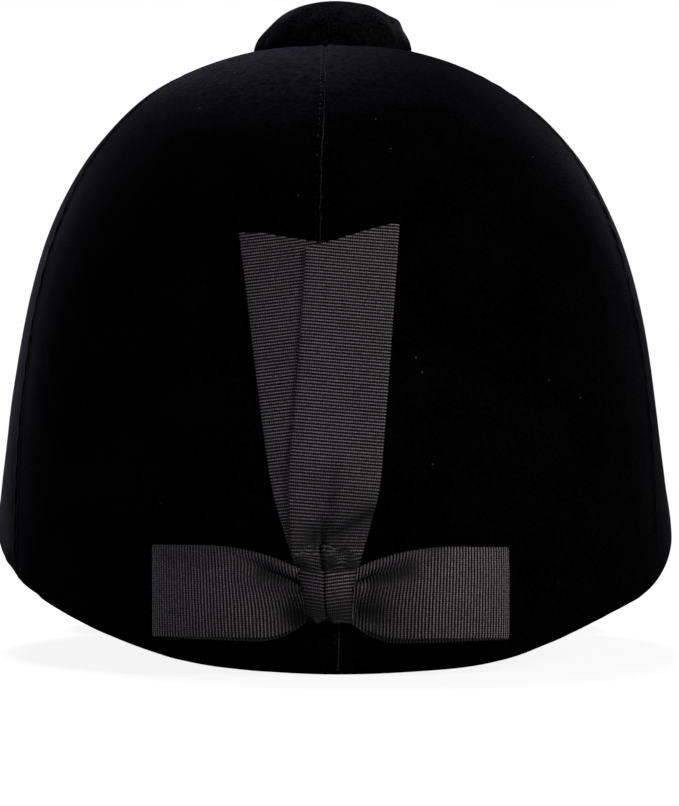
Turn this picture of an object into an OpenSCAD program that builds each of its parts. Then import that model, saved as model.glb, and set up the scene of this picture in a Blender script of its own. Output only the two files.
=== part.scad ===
// Hunt cap: a velvet covered riding cap with a peak, a crown button, a ribbon bow at the
// nape and a chin harness that is folded up inside. Millimetres, +Z up, peak toward +Y.
// The cap stands on its nape edge and on two stretches of the peak's edge.

/* [Crown] */
// Width of the cap across its sides, over the velvet
cap_w = 199.5; // [185:0.5:215]
// Height of the crown above the lowest point of the nape edge
crown_h = 179; // [165:1:195]
// From the crown's middle to the back of the nape edge
back_reach = 122; // [112:1:134]
// From the crown's middle to the front edge of the shell
front_reach = 122; // [112:1:134]
// How square the crown's profile is
dome_fullness = 5.75; // [5:0.05:6.5]
// Share by which the walls still widen from crown to nape edge
wall_flare = 0.191; // [0.12:0.005:0.25]
// Height of the rim over the nape edge at the sides
side_rise = 35.5; // [30:0.5:42]
// Height of the rim over the nape edge at the front
front_rise = 38; // [34:0.5:44]
// How fast the rim drops from the sides to the nape
rim_curve = 1.15; // [1.05:0.05:1.6]
// Angle of the side seams behind the side line, near the crown
seam_back = 17; // [10:1:24]
// How much further back the side seams run at the rim
seam_sweep = 8; // [0:1:12]

/* [Layers] */
// Thickness of the velvet
velvet_t = 0.9; // [0.6:0.1:1.4]
// Thickness of the hard shell
shell_t = 2.6; // [2:0.1:3.5]
// Thickness of the energy absorbing liner
liner_t = 16; // [14:0.5:18]
// Thickness of the cloth lining
lining_t = 0.8; // [0.5:0.1:1.2]
// Height of the velvet hem inside the shell
hem_h = 8; // [6:0.5:10]
// Height of the strap channel between shell and liner
channel_h = 28; // [26:1:32]
// Depth of the strap channel
channel_d = 5; // [4.8:0.1:6]
// Height of the liner's lower edge over the rim
liner_edge = 9; // [8:0.5:11]
// Thickness of the headband's foam
headband_t = 4.4; // [3.5:0.1:5.5]
// Height of the headband's foam
headband_h = 27; // [22:1:32]
// Thickness of the headband's cover
headband_cover_t = 0.7; // [0.5:0.1:1]
// Thickness of the crown pad
crown_pad_t = 5.5; // [4:0.5:7]

/* [Button] */
// Diameter of the covered button
button_d = 47; // [40:0.5:54]
// Height of the button from its edge to its top
button_h = 14.9; // [12:0.1:17]
// Diameter of the button's bolt
bolt_d = 4; // [3:0.5:5]
// Outer diameter of the bolt's washer
washer_d = 12; // [11:0.5:14]
// Thickness of the bolt's washer
washer_t = 1; // [0.8:0.1:1.5]
// Nut size across its flats
nut_af = 7; // [6:0.5:9]
// Thickness of the nut
nut_t = 3.2; // [2.4:0.1:4]

/* [Peak] */
// Half of the arc of rim that the peak spans, in degrees
peak_half_arc = 52; // [48:1:53]
// How far the peak reaches beyond the shell
peak_reach = 50; // [40:1:60]
// Height by which the peak's middle arches over its lowest stretches
peak_arch = 8; // [4:0.5:12]
// Depth of the peak's ends under the rim
peak_end_drop = 6; // [5:0.5:9]
// Width of the peak at its ends
peak_end_w = 7; // [6:0.5:10]
// Thickness of the peak board
board_t = 2; // [1.6:0.1:2.4]
// Height of the board's flange inside the shell
flange_h = 20; // [18:0.5:22]
// Diameter of the piping along the peak's edge
piping_d = 3.8; // [3:0.1:4.6]

/* [Bow] */
// Width of the ribbon
ribbon_w = 25; // [22:0.5:28]
// Thickness of the ribbon
ribbon_t = 0.7; // [0.5:0.1:0.9]
// Height of the bow's middle over the nape edge
bow_z = 22.5; // [20:0.5:28]
// Reach of the left loop from the cap's middle
left_loop_reach = 48.6; // [42:0.2:56]
// Reach of the right loop from the cap's middle
right_loop_reach = 43.6; // [40:0.2:56]
// Sideways place of the knot
knot_x = -4.1; // [-6:0.1:2]
// Width of the knot at its top
knot_top_w = 20.6; // [18:0.2:24]
// Width of the knot at its bottom
knot_foot_w = 12; // [10:0.2:16]
// Height of the knot
knot_h = 20.5; // [18:0.5:24]
// How far the knot stands out
knot_t = 8; // [7:0.5:10]
// Height of the top of the tails over the nape edge
tail_top = 120; // [105:0.5:130]
// Sideways place of the left tail's outer edge at its top
left_tail_x = -27; // [-29:0.1:-22]
// Sideways place of the right tail's inner edge at its top
right_tail_x = -8.6; // [-11:0.1:-3]

/* [Harness] */
// Angle of the strap anchors before and behind the side line
anchor_arc = 32; // [31:0.5:34]
// Height of the anchor rivets over the rim
anchor_h = 18; // [16:0.5:20]
// Width of the side straps
strap_w = 16; // [14:0.5:18]
// Thickness of the webbing
strap_t = 1.4; // [1:0.1:1.8]
// Distance from the strap hinge to the divider's bar
drop_h = 80; // [76:1:84]
// Outward lean of the folded straps, in degrees
strap_lean = 2.2; // [1:0.2:3]
// Width of the chin strap
chin_w = 20; // [18:0.5:21]
// Length of the chin strap from its bar to the buckle
chin_l = 42; // [39:1:44]
// Length of the buckle socket
socket_l = 30; // [26:1:33]
// Width of the buckle
buckle_w = 26; // [24:0.5:28]
// Thickness of the buckle
buckle_t = 9; // [8:0.5:10]
// Length of the chin strap's slider
slider_l = 13; // [10:0.5:14]
// Rivet shank diameter
rivet_d = 4; // [3:0.5:5]

/* [Fit] */
// Gap between parts that are laid or glued together
lay_gap = 0.3; // [0.1:0.05:0.5]
// Radial gap of the bolt and of the rivets in their holes
hole_gap = 0.1; // [0.05:0.05:0.3]
// Gap round moving pieces
run_gap = 0.3; // [0.2:0.05:0.5]
// Gap between the skins of the crown, which have the same form
skin_gap = 0.05; // [0.02:0.01:0.1]
// Gap of a flat or stiff piece to a curved wall behind it
wall_gap = 0.5; // [0.4:0.05:0.7]

/* [Hidden] */
$fn = 48;

velvet_color = "#0b0b10";
ribbon_color = "#2b2826";
plastic_color = "#1a1a1c";

// Grid that all the layers of the crown share: columns from the centre back to the side seam,
// from there to the centre front, and rows from the crown's middle to the strap channel
back_columns = 9;
front_columns = 11;
half_columns = back_columns + front_columns;
columns = 2 * half_columns;
crown_rows = 10;
crown_hole = 0.03;
row_power = 1.7;

// Profile of the crown: its half width as a share, at a depth under its top
profile_reach = 1.14;
function profile(h) = sqrt(1 - pow(1 - h / (crown_h * profile_reach), dome_fullness))
    + wall_flare * h / crown_h;
side_depth = crown_h - side_rise;
front_depth = crown_h - front_rise;
function half_w(h) = cap_w / 2 * profile(h) / profile(side_depth);
function back_l(h) = back_reach * profile(h) / profile(crown_h);
function front_l(h) = front_reach * profile(h) / profile(front_depth);

function unit(v) = v / norm(v);
function lerp(a, b, k) = a + (b - a) * k;

// Point of the crown's outer face at a depth and an angle, where -90 is the centre back,
// 0 the right side and 90 the centre front. It is measured from the top of the crown.
function face_point(t, h) = [half_w(h) * cos(t),
    (sin(t) < 0 ? back_l(h) : front_l(h)) * sin(t), -h];
// Outward normal there, worked out on the root of the depth, which is smooth at the top
probe = 0.02;
function face_normal(t, h) = let (q = sqrt(h),
    along = face_point(t, pow(q + probe, 2)) - face_point(t, pow(q - probe, 2)),
    across = face_point(t + probe, h) - face_point(t - probe, h)) unit(cross(along, across));

// Depth of the rim under the crown's top at an angle
function rim_rise(t) = sin(t) < 0 ? side_rise * (1 - pow(-sin(t), rim_curve))
    : side_rise + (front_rise - side_rise) * pow(sin(t), 2);
// A row is [share of the way down to the strap channel, height over the rim, depth inward]
band_side_depth = side_depth - channel_h;
function row_depth(t, row) = row[0] < 1
    ? band_side_depth * pow(row[0], row_power)
        + (side_rise - rim_rise(t)) * pow(row[0], 5)
    : crown_h - rim_rise(t) - row[1];
function crown_point(t, row) = let (h = row_depth(t, row))
    face_point(t, h) - face_normal(t, h) * row[2];
// Angle of a column, counted from the centre back over the right side and the front
function seam_share(row) = row[0] < 1 ? pow(row[0], row_power) * band_side_depth / side_depth
    : (side_depth - row[1]) / side_depth;
function seam_angle(row) = seam_back + seam_sweep * pow(seam_share(row), 4);
function column_angle(c, row) = c > half_columns ? 180 - column_angle(columns - c, row)
    : c <= back_columns ? lerp(-90, -seam_angle(row), c / back_columns)
    : lerp(-seam_angle(row), 90, (c - back_columns) / front_columns);

function crown_row_list(off) = [for (i = [0:crown_rows])
    [lerp(crown_hole, 1, i / crown_rows), channel_h, off]];
function band(ups, off) = [for (up = ups) [1, up, off]];

// Depths of the layers, inward from the velvet's face
shell_off = velvet_t + skin_gap;
shell_in = shell_off + shell_t;
hem_off = shell_in + skin_gap;
hem_in = hem_off + velvet_t;
liner_off = shell_in + skin_gap;
liner_in = liner_off + liner_t;
lining_off = liner_in + skin_gap;
lining_in = lining_off + lining_t;
channel_in = shell_in + channel_d;
foam_off = lining_in + lay_gap;
foam_in = foam_off + headband_t;
cover_in = foam_in + headband_cover_t;
edge_up = velvet_t + skin_gap;
roll_up = 3;
mid_up = 16;

velvet_outside = concat(crown_row_list(0), band([mid_up, hem_h, roll_up], 0),
    [[1, 0.5, 0.1], [1, 0, velvet_t], [1, 0, hem_off], [1, 0.5, hem_in - 0.1],
    [1, roll_up, hem_in], [1, hem_h, hem_in]]);
velvet_inside = concat(crown_row_list(velvet_t), band([mid_up, hem_h, roll_up], velvet_t),
    [[1, 2, velvet_t], [1, velvet_t, velvet_t], [1, velvet_t, hem_off], [1, 2, hem_off],
    [1, roll_up, hem_off], [1, hem_h, hem_off]]);

knot_cols = 6;
knot_steps = 5;
knot_lift = 2.2;
knot_z0 = bow_z + knot_lift - knot_h / 2;
knot_edge_t = 2.5;
knot_end_share = 0.72;
knot_sway = 0.3;

// The standing height and the fore and aft place come from the lowest and the farthest points
crown_z = max([for (row = velvet_outside) -crown_point(-90, row)[2]]);
function back_point(x, z, off) = let (h = crown_h - z, s = min(0.98, abs(x) / half_w(h)),
    t = x < 0 ? -180 + acos(s) : -acos(s)) face_point(t, h) + face_normal(t, h) * off;
peak_tip = front_l(front_depth) + peak_reach;
bow_back = max([for (row = knot_grid(1)) for (p = row) -p[1]]);
crown_y = (bow_back - peak_tip - piping_d / 2) / 2;
place = [0, crown_y, crown_z];

// Closed solid between two point grids of one size, which may close into a ring
module skin_solid(outside, inside, ring = false, capped = false) {
    m = len(outside);
    n = len(outside[0]);
    shift = m * n;
    last = ring ? n - 1 : n - 2;
    sides = [for (i = [0:m - 2]) for (j = [0:last]) let (k = (j + 1) % n,
        a = i * n + j, b = i * n + k, c = a + n, d = b + n)
        each [[a, b, d], [a, d, c], [a + shift, d + shift, b + shift], [a + shift, c + shift, d + shift]]];
    foot = [for (j = [0:last]) let (k = (j + 1) % n, c = (m - 1) * n + j, d = (m - 1) * n + k)
        each [[c, d, d + shift], [c, d + shift, c + shift]]];
    head = capped ? [for (j = [0:last]) let (k = (j + 1) % n)
            each [[k, j, 2 * shift], [j + shift, k + shift, 2 * shift + 1]]]
        : [for (j = [0:last]) let (k = (j + 1) % n) each [[k, j, j + shift], [k, j + shift, k + shift]]];
    ends = ring ? [] : [for (i = [0:m - 2]) let (a = i * n, c = a + n, b = a + n - 1, d = b + n)
        each [[a, c, c + shift], [a, c + shift, a + shift],
            [d, b, d + shift], [b, b + shift, d + shift]]];
    rim = concat([for (r = outside) each r], [for (r = inside) each r]);
    mid_out = [for (p = outside[0]) 1] * outside[0] / n;
    mid_in = [for (p = inside[0]) 1] * inside[0] / n;
    points = capped ? concat(rim, [mid_out, mid_in]) : rim;
    faces = concat(sides, foot, head, ends);
    parts = [for (f = faces) points[f[0]] * cross(points[f[1]], points[f[2]])];
    outward = parts * [for (v = parts) 1] > 0;
    polyhedron(points, outward ? [for (f = faces) [f[2], f[1], f[0]]] : faces);
}

module crown_layer(outer_rows, inner_rows, from = 0, to = columns, capped = false) {
    whole = to - from == columns;
    cols = [for (c = [from:whole ? to - 1 : to]) c];
    translate(place) skin_solid(
        [for (row = outer_rows) [for (c = cols) crown_point(column_angle(c, row), row)]],
        [for (row = inner_rows) [for (c = cols) crown_point(column_angle(c, row), row)]],
        ring = whole, capped = capped);
}

module gore(from, to) {
    color(velvet_color) crown_layer(velvet_outside, velvet_inside, from, to);
}
module back_right_velvet() { gore(0, back_columns); }
module front_right_velvet() { gore(back_columns, half_columns); }
module front_left_velvet() { gore(half_columns, columns - back_columns); }
module back_left_velvet() { gore(columns - back_columns, columns); }

// Puts a piece on the crown at an angle and a height over the rim, its +Z axis outward
module on_wall(t, up) {
    row = [1, up, 0];
    h = row_depth(t, row);
    n = face_normal(t, h);
    translate(place + face_point(t, h)) rotate([0, acos(n[2]), atan2(n[1], n[0])]) children();
}

// Rivets: a countersunk head in the shell's face, a shank and a flat tail
rivet_head_d = rivet_d * 2;
rivet_head_t = shell_t * 0.5;
rivet_tail_t = 0.8;
rivet_sink = 0.5;
peak_rivet_arcs = [15, 38];
peak_rivet_up = 13.5;
anchor_angles = [-anchor_arc, anchor_arc, 180 - anchor_arc, 180 + anchor_arc];
peak_rivet_angles = [for (a = peak_rivet_arcs) each [90 - a, 90 + a]];
webbing_off = hem_in + wall_gap;
flange_off = hem_in + wall_gap;
flange_in = flange_off + board_t;
flange_grip = flange_in + lay_gap;
anchor_washer_t = 0.8;
anchor_grip = webbing_off + strap_t + lay_gap + anchor_washer_t;

module rivet(grip, gap = 0) {
    face = -shell_off - rivet_sink;
    translate([0, 0, -grip - rivet_tail_t]) cylinder(h = grip + rivet_tail_t + face, d = rivet_d + 2 * gap);
    translate([0, 0, face - rivet_head_t])
        cylinder(h = rivet_head_t, d1 = rivet_d + 2 * gap, d2 = rivet_head_d + 2 * gap);
    if (gap == 0)
        translate([0, 0, -grip - rivet_tail_t]) cylinder(h = rivet_tail_t, d = rivet_head_d);
    else
        translate([0, 0, face]) cylinder(h = 1, d = rivet_head_d + 2 * gap);
}

module shell() {
    color("#22242a") difference() {
        crown_layer(concat(crown_row_list(shell_off), band([mid_up, hem_h, roll_up, 2, edge_up], shell_off)),
            concat(crown_row_list(shell_in), band([mid_up, hem_h, roll_up, 2, edge_up], shell_in)),
            capped = true);
        translate([0, crown_y, crown_z - 2 * shell_in]) cylinder(h = 3 * shell_in, d = bolt_d + 2 * hole_gap);
        for (t = anchor_angles) on_wall(t, anchor_h) rivet(anchor_grip, hole_gap);
        for (t = peak_rivet_angles) on_wall(t, peak_rivet_up) rivet(flange_grip, hole_gap);
    }
}

channel_top = channel_h - 1;
recess_gap = 1.5;
module liner() {
    color("#2b2b2d") difference() {
        crown_layer(concat(crown_row_list(liner_off), band([channel_top, mid_up, liner_edge], channel_in)),
            concat(crown_row_list(liner_in), band([channel_top, mid_up, liner_edge], liner_in)),
            capped = true);
        translate([0, crown_y, crown_z - nut_bottom_off - recess_gap])
            cylinder(h = nut_bottom_off + recess_gap, d = washer_d + 2 * recess_gap);
    }
}

module lining() {
    color("#3a3a40") crown_layer(
        concat(crown_row_list(lining_off), band([channel_top, mid_up, liner_edge], lining_off)),
        concat(crown_row_list(lining_in), band([channel_top, mid_up, liner_edge], lining_in)), capped = true);
}

foam_low = liner_edge + lay_gap;
foam_high = foam_low + headband_h;
module headband_foam() {
    ups = [foam_high, lerp(foam_low, foam_high, 0.6), lerp(foam_low, foam_high, 0.3), foam_low];
    color("#55565a") crown_layer(band(ups, foam_off), band(ups, foam_in));
}

module headband_cover() {
    t = headband_cover_t;
    g = lay_gap / 2;
    over = [[1, foam_high + g, foam_off], [1, foam_high + g, foam_in + g],
        [1, lerp(foam_low, foam_high, 0.6), foam_in + g], [1, lerp(foam_low, foam_high, 0.3), foam_in + g],
        [1, foam_low - g, foam_in + g], [1, foam_low - g, foam_off]];
    out = [[1, foam_high + t, foam_off], [1, foam_high + t, cover_in + g],
        [1, lerp(foam_low, foam_high, 0.6), cover_in + g], [1, lerp(foam_low, foam_high, 0.3), cover_in + g],
        [1, foam_low - t, cover_in + g], [1, foam_low - t, foam_off]];
    color("#17171a") crown_layer(over, out);
}

pad_rows = 3;
module crown_pad() {
    top = [for (i = [0:pad_rows]) [lerp(crown_hole, 1, i / crown_rows), channel_h, lining_in + lay_gap]];
    low = [for (i = [0:pad_rows]) let (k = i / pad_rows)
        [lerp(crown_hole, 1, i / crown_rows), channel_h,
        lining_in + lay_gap + crown_pad_t * (1 - 0.55 * pow(k, 3))]];
    color("#2c2c31") crown_layer(top, low, capped = true);
}

// Button: a half ellipse in section, hollowed underneath to sit on the crown
button_hollow = 2.1;
button_base_r = pow(button_d / 2, 2) / (2 * button_hollow);
button_edge_z = -2.5;
button_tuck = 0.45;
button_steps = 9;
function button_outline(r, h, base) = concat(
    [for (i = [0:button_steps]) let (a = 90 * i / button_steps) [r * sin(90 - a), base + h * sin(a)]]);
function base_arc(r, lift) = [for (i = [0:5]) let (x = r * i / 5)
    [x, lift + sqrt(pow(button_base_r, 2) - x * x) - button_base_r]];
cover_lift = lay_gap;
core_lift = cover_lift + velvet_t + hole_gap;
bolt_head_d = 8;
bolt_head_t = 3;
bolt_z = core_lift + 1;
washer_seat = shell_in + 0.45;
nut_bottom_off = washer_seat + washer_t + nut_t;

module button_at() { translate([0, crown_y, crown_z]) children(); }
module button_cover() {
    r = button_d / 2;
    tuck = r * button_tuck;
    outer = concat([for (p = base_arc(r, cover_lift)) if (p[0] > tuck) p],
        [for (p = button_outline(r, button_h, button_edge_z + cover_lift)) if (p[0] < r) p]);
    inner = concat([for (p = base_arc(r - velvet_t, core_lift - hole_gap)) if (p[0] > tuck) p],
        [for (p = button_outline(r - velvet_t, button_h - velvet_t, button_edge_z + cover_lift))
            if (p[0] < r - velvet_t) p]);
    n = len(inner);
    color(velvet_color) button_at()
        rotate_extrude($fn = 64) polygon(concat(outer, [for (i = [n - 1:-1:0]) inner[i]]));
}
module button_core() {
    r = button_d / 2 - velvet_t - hole_gap;
    outline = concat(base_arc(r, core_lift),
        [for (p = button_outline(r, button_h - velvet_t - hole_gap, button_edge_z + cover_lift))
            if (p[0] < r) p]);
    color("#b9b4a8") button_at() difference() {
        rotate_extrude($fn = 64) polygon(outline);
        translate([0, 0, -1]) cylinder(h = bolt_z + 1 - hole_gap, d = bolt_d + 2 * hole_gap);
        translate([0, 0, bolt_z - hole_gap])
            cylinder(h = bolt_head_t + 2 * hole_gap, d = bolt_head_d + 2 * hole_gap);
    }
}
module button_bolt() {
    foot = -nut_bottom_off - 1;
    color("silver") button_at() {
        translate([0, 0, foot]) cylinder(h = bolt_z - foot, d = bolt_d);
        translate([0, 0, bolt_z]) cylinder(h = bolt_head_t, d = bolt_head_d);
    }
}
module button_washer() {
    color("silver") button_at() translate([0, 0, -washer_seat - washer_t]) difference() {
        cylinder(h = washer_t, d = washer_d);
        translate([0, 0, -1]) cylinder(h = washer_t + 2, d = bolt_d + 2 * hole_gap);
    }
}
module button_nut() {
    color("silver") button_at() translate([0, 0, -nut_bottom_off]) difference() {
        cylinder(h = nut_t, d = nut_af / cos(30), $fn = 6);
        translate([0, 0, -1]) cylinder(h = nut_t + 2, d = bolt_d);
    }
}

// Peak. Its stations run from end to end, u from -1 on the right to 1 on the left.
peak_stations = 20;
plate_steps = 4;
peak_low_u = 0.6;
peak_end_t = 90 - peak_half_arc;
piping_r = piping_d / 2;
plate_drop = velvet_t + lay_gap;
rim_end = crown_point(peak_end_t, [1, 0, 0]);
end_normal = face_normal(peak_end_t, crown_h - rim_rise(peak_end_t));
peak_end = rim_end + unit([end_normal[0], end_normal[1], 0]) * peak_end_w;
peak_end_rise = rim_rise(peak_end_t) - peak_end_drop - piping_d;
function peak_angle(u) = 90 + peak_half_arc * u;
function edge_rise(u) = let (v = abs(u)) v < peak_low_u
    ? peak_arch * pow(1 - v / peak_low_u, 2) * (1 + 2 * v / peak_low_u)
    : peak_end_rise * pow((v - peak_low_u) / (1 - peak_low_u), 1.6);
function peak_edge(u) = [-peak_end[0] * sin(90 * u),
    peak_end[1] + (peak_tip - peak_end[1]) * pow(cos(90 * u), 0.9), piping_r - crown_z + edge_rise(u)];
function plate_root(u) = crown_point(peak_angle(u), [1, -plate_drop, 0.5]);
function plate_along(u) = unit(peak_edge(u) - plate_root(u));
function plate_up(u) = let (d = plate_along(u), flat = unit([d[0], d[1], 0]), s = norm([d[0], d[1]]))
    [0, 0, s] - flat * d[2];
plate_camber = 0.07;
// Point of the plate at a share of its length and a height over the board's top face
function plate_point(u, k, up) = let (root = plate_root(u),
    tip = peak_edge(u) + plate_up(u) * (board_t / 2) - plate_along(u) * (piping_r + hole_gap),
    l = norm(tip - root)) lerp(root, tip, k) + plate_up(u) * (up + plate_camber * l * sin(180 * k));
stations = [for (i = [0:peak_stations]) 2 * i / peak_stations - 1];
plate_shares = [for (i = [0:plate_steps]) i / plate_steps];
function plate_rows(up, first = 0) = [for (k = plate_shares)
    [for (u = stations) plate_point(u, max(k, first), up)]];
function wall_rows(rows) = [for (row = rows) [for (u = stations) crown_point(peak_angle(u), row)]];

module peak_board() {
    top = concat(wall_rows([[1, flange_h, flange_off], [1, 0.4, flange_off], [1, -plate_drop, hem_in - 0.8]]),
        plate_rows(0));
    low = concat(wall_rows([[1, flange_h, flange_in], [1, -0.4, flange_in],
        [1, -plate_drop - board_t * 0.9, flange_in - 1]]), plate_rows(-board_t));
    color("#6b4f36") difference() {
        translate(place) skin_solid(top, low);
        for (t = peak_rivet_angles) on_wall(t, peak_rivet_up) rivet(flange_grip, hole_gap);
    }
}
module peak_cover() {
    color(velvet_color) translate(place) skin_solid(
        concat(wall_rows([[1, -lay_gap / 2, 3]]), plate_rows(velvet_t)),
        concat(wall_rows([[1, -lay_gap / 2 - velvet_t * 0.9, 3]]), plate_rows(0.02)));
}
module peak_lining() {
    color("#303034") translate(place)
        skin_solid(plate_rows(-board_t - 0.05), plate_rows(-board_t - lining_t));
}
piping_sides = 8;
module peak_piping() {
    rings = [for (a = [0:piping_sides - 1]) let (w = 360 * a / piping_sides)
        [for (u = stations) peak_edge(u)
            + piping_r * (cos(w) * unit([plate_along(u)[0], plate_along(u)[1], 0]) + [0, 0, sin(w)])]];
    color(velvet_color) translate(place) tube_solid(rings);
}
// Closed tube from the lines of points along its sides
module tube_solid(lines) {
    n = len(lines);
    m = len(lines[0]);
    points = [for (line = lines) each line];
    sides = [for (i = [0:n - 1]) for (j = [0:m - 2]) let (a = i * m + j, b = ((i + 1) % n) * m + j)
        each [[a, a + 1, b + 1], [a, b + 1, b]]];
    ends = [for (i = [1:n - 2]) each [[0, i * m, (i + 1) * m],
        [m - 1, (i + 1) * m + m - 1, i * m + m - 1]]];
    faces = concat(sides, ends);
    parts = [for (f = faces) points[f[0]] * cross(points[f[1]], points[f[2]])];
    outward = parts * [for (v = parts) 1] > 0;
    polyhedron(points, outward ? [for (f = faces) [f[2], f[1], f[0]]] : faces);
}
module peak_rivets() {
    color("silver") for (t = peak_rivet_angles) on_wall(t, peak_rivet_up) rivet(flange_grip);
}

// Bow. Grids lie on the back of the crown: x sideways, z over the nape edge, and outward depth.
function knot_width(k) = lerp(knot_foot_w, knot_top_w, pow(k, 0.8));
function knot_middle(k) = knot_x + knot_sway * (1 - k);
function knot_grid(front) = [for (i = [0:knot_steps]) let (k = i / knot_steps, z = knot_z0 + knot_h * k,
        w = knot_width(k), x0 = knot_middle(k))
    [for (j = [0:knot_cols]) let (s = 2 * j / knot_cols - 1)
        back_point(x0 + w / 2 * s, z, front == 0 ? lay_gap
            : knot_edge_t + (knot_t - knot_edge_t) * pow(max(0, 1 - pow(abs(s), 3)), 0.6)
                * lerp(knot_end_share, 1, sin(180 * k)))]];
module bow_knot() {
    color(ribbon_color) translate(place) skin_solid(knot_grid(1), knot_grid(0));
}

// A loop of ribbon: out from the knot on the outside and back to it underneath
loop_path = [[0, 5.4], [0.12, 6.4], [0.3, 7.8], [0.52, 8.6], [0.74, 8.4], [0.9, 7.4], [0.985, 5.6],
    [1, 4.2], [0.975, 2.7], [0.88, 1.7], [0.7, 1.1], [0.45, 0.9], [0.2, 0.9], [0, 0.9]];
loop_rows = 4;
loop_pinch = 0.3;
function loop_grid(side, reach, inset) = [for (i = [0:loop_rows]) let (v = i / loop_rows - 0.5)
    [for (j = [0:len(loop_path) - 1]) let (p = loop_path[j],
            before = loop_path[max(0, j - 1)], after = loop_path[min(len(loop_path) - 1, j + 1)],
            start = knot_side(side, bow_z + v * ribbon_w * (1 - loop_pinch)), run = reach - start,
            d = unit([(after[0] - before[0]) * run, after[1] - before[1]]),
            squeeze = 1 - loop_pinch * pow(1 - p[0], 3),
            x = start + run * p[0] + inset * d[1], off = p[1] - inset * d[0])
        back_point(side * x, bow_z + v * ribbon_w * squeeze, off)]];
// Distance of the knot's side from the middle plane, on one side and at a height
function knot_side(side, z) = let (k = min(1, max(0, (z - knot_z0) / knot_h)))
    side * knot_middle(k) + knot_width(k) / 2 + knot_clear;
knot_clear = 0.9;
module bow_loop(side, reach) {
    color(ribbon_color) translate(place)
        skin_solid(loop_grid(side, reach, 0), loop_grid(side, reach, ribbon_t));
}
module bow_left_loop() { bow_loop(-1, left_loop_reach); }
module bow_right_loop() { bow_loop(1, right_loop_reach); }

// A tail: laid on the crown from the knot up to a slanting cut
tail_rows = 10;
tail_cols = 4;
tail_foot = knot_z0 + knot_h + lay_gap;
tail_w = ribbon_w - 0.5;
tail_off = lay_gap + 0.2;
left_tail_cut = -5;
right_tail_cut = 5.5;
function tail_grid(x_top, slant, off) = [for (i = [0:tail_rows]) let (k = i / tail_rows)
    [for (j = [0:tail_cols]) let (s = j / tail_cols,
            x = lerp(knot_x - knot_top_w / 2 + knot_top_w * s, x_top + tail_w * s, k),
            z = lerp(tail_foot, tail_top + slant * (s - 0.5), k))
        back_point(x, z, off)]];
module bow_left_tail() {
    color(ribbon_color) translate(place) skin_solid(
        tail_grid(left_tail_x, left_tail_cut, tail_off + ribbon_t),
        tail_grid(left_tail_x, left_tail_cut, tail_off));
}
module bow_right_tail() {
    second = tail_off + ribbon_t + lay_gap;
    color(ribbon_color) translate(place) skin_solid(
        tail_grid(right_tail_x, right_tail_cut, second + ribbon_t),
        tail_grid(right_tail_x, right_tail_cut, second));
}

// Harness. Each side has a V of two straps, hinged on the line between its two anchors, and a
// chin strap that hangs from the divider's bar. All is worked out on the right side.
hinge_off = cover_in + 6.3;
hinge_up = liner_edge - 2;
hinge_front = crown_point(anchor_arc, [1, hinge_up, hinge_off]) + place;
hinge_rear = crown_point(-anchor_arc, [1, hinge_up, hinge_off]) + place;
hinge_x = (hinge_front[0] + hinge_rear[0]) / 2;
hinge_mid = [hinge_x, (hinge_front[1] + hinge_rear[1]) / 2, (hinge_front[2] + hinge_rear[2]) / 2];
foot_y = norm([0, hinge_front[1] - hinge_rear[1], hinge_front[2] - hinge_rear[2]]) / 2;
hinge_axis = unit([0, hinge_front[1] - hinge_rear[1], hinge_front[2] - hinge_rear[2]]);
strap_up = unit(cross([1, 0, 0], hinge_axis)) * cos(strap_lean) + [1, 0, 0] * sin(strap_lean);
strap_out = cross(hinge_axis, strap_up);

// Pieces in the plane of the straps: x forward along the hinge, y up, z outward
module strap_plane(side) {
    mirror([side < 0 ? 1 : 0, 0, 0]) multmatrix([
        [hinge_axis[0], strap_up[0], strap_out[0], hinge_mid[0]],
        [hinge_axis[1], strap_up[1], strap_out[1], hinge_mid[1]],
        [hinge_axis[2], strap_up[2], strap_out[2], hinge_mid[2]],
        [0, 0, 0, 1]]) children();
}

slab_t = strap_t + 3;
bar_d = 3;
bar_y = drop_h;
eye_d = bar_d + 2 * run_gap + 3;
bar_z = -slab_t / 2;
lug_w = 3;
lug_d = bar_d + 4;
bar_hold = 1;
window_w = chin_w + 2 * run_gap;
divider_top = bar_y + bar_d / 2 + 2;
divider_foot = drop_h - 28;
divider_chamfer = 4;
divider_ear = 5;
divider_ear_y = divider_foot + 18;
seat_x = strap_w / 2 + 0.5;
seat_y = divider_foot + 12;
foot_lift = 0.8;

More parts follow.
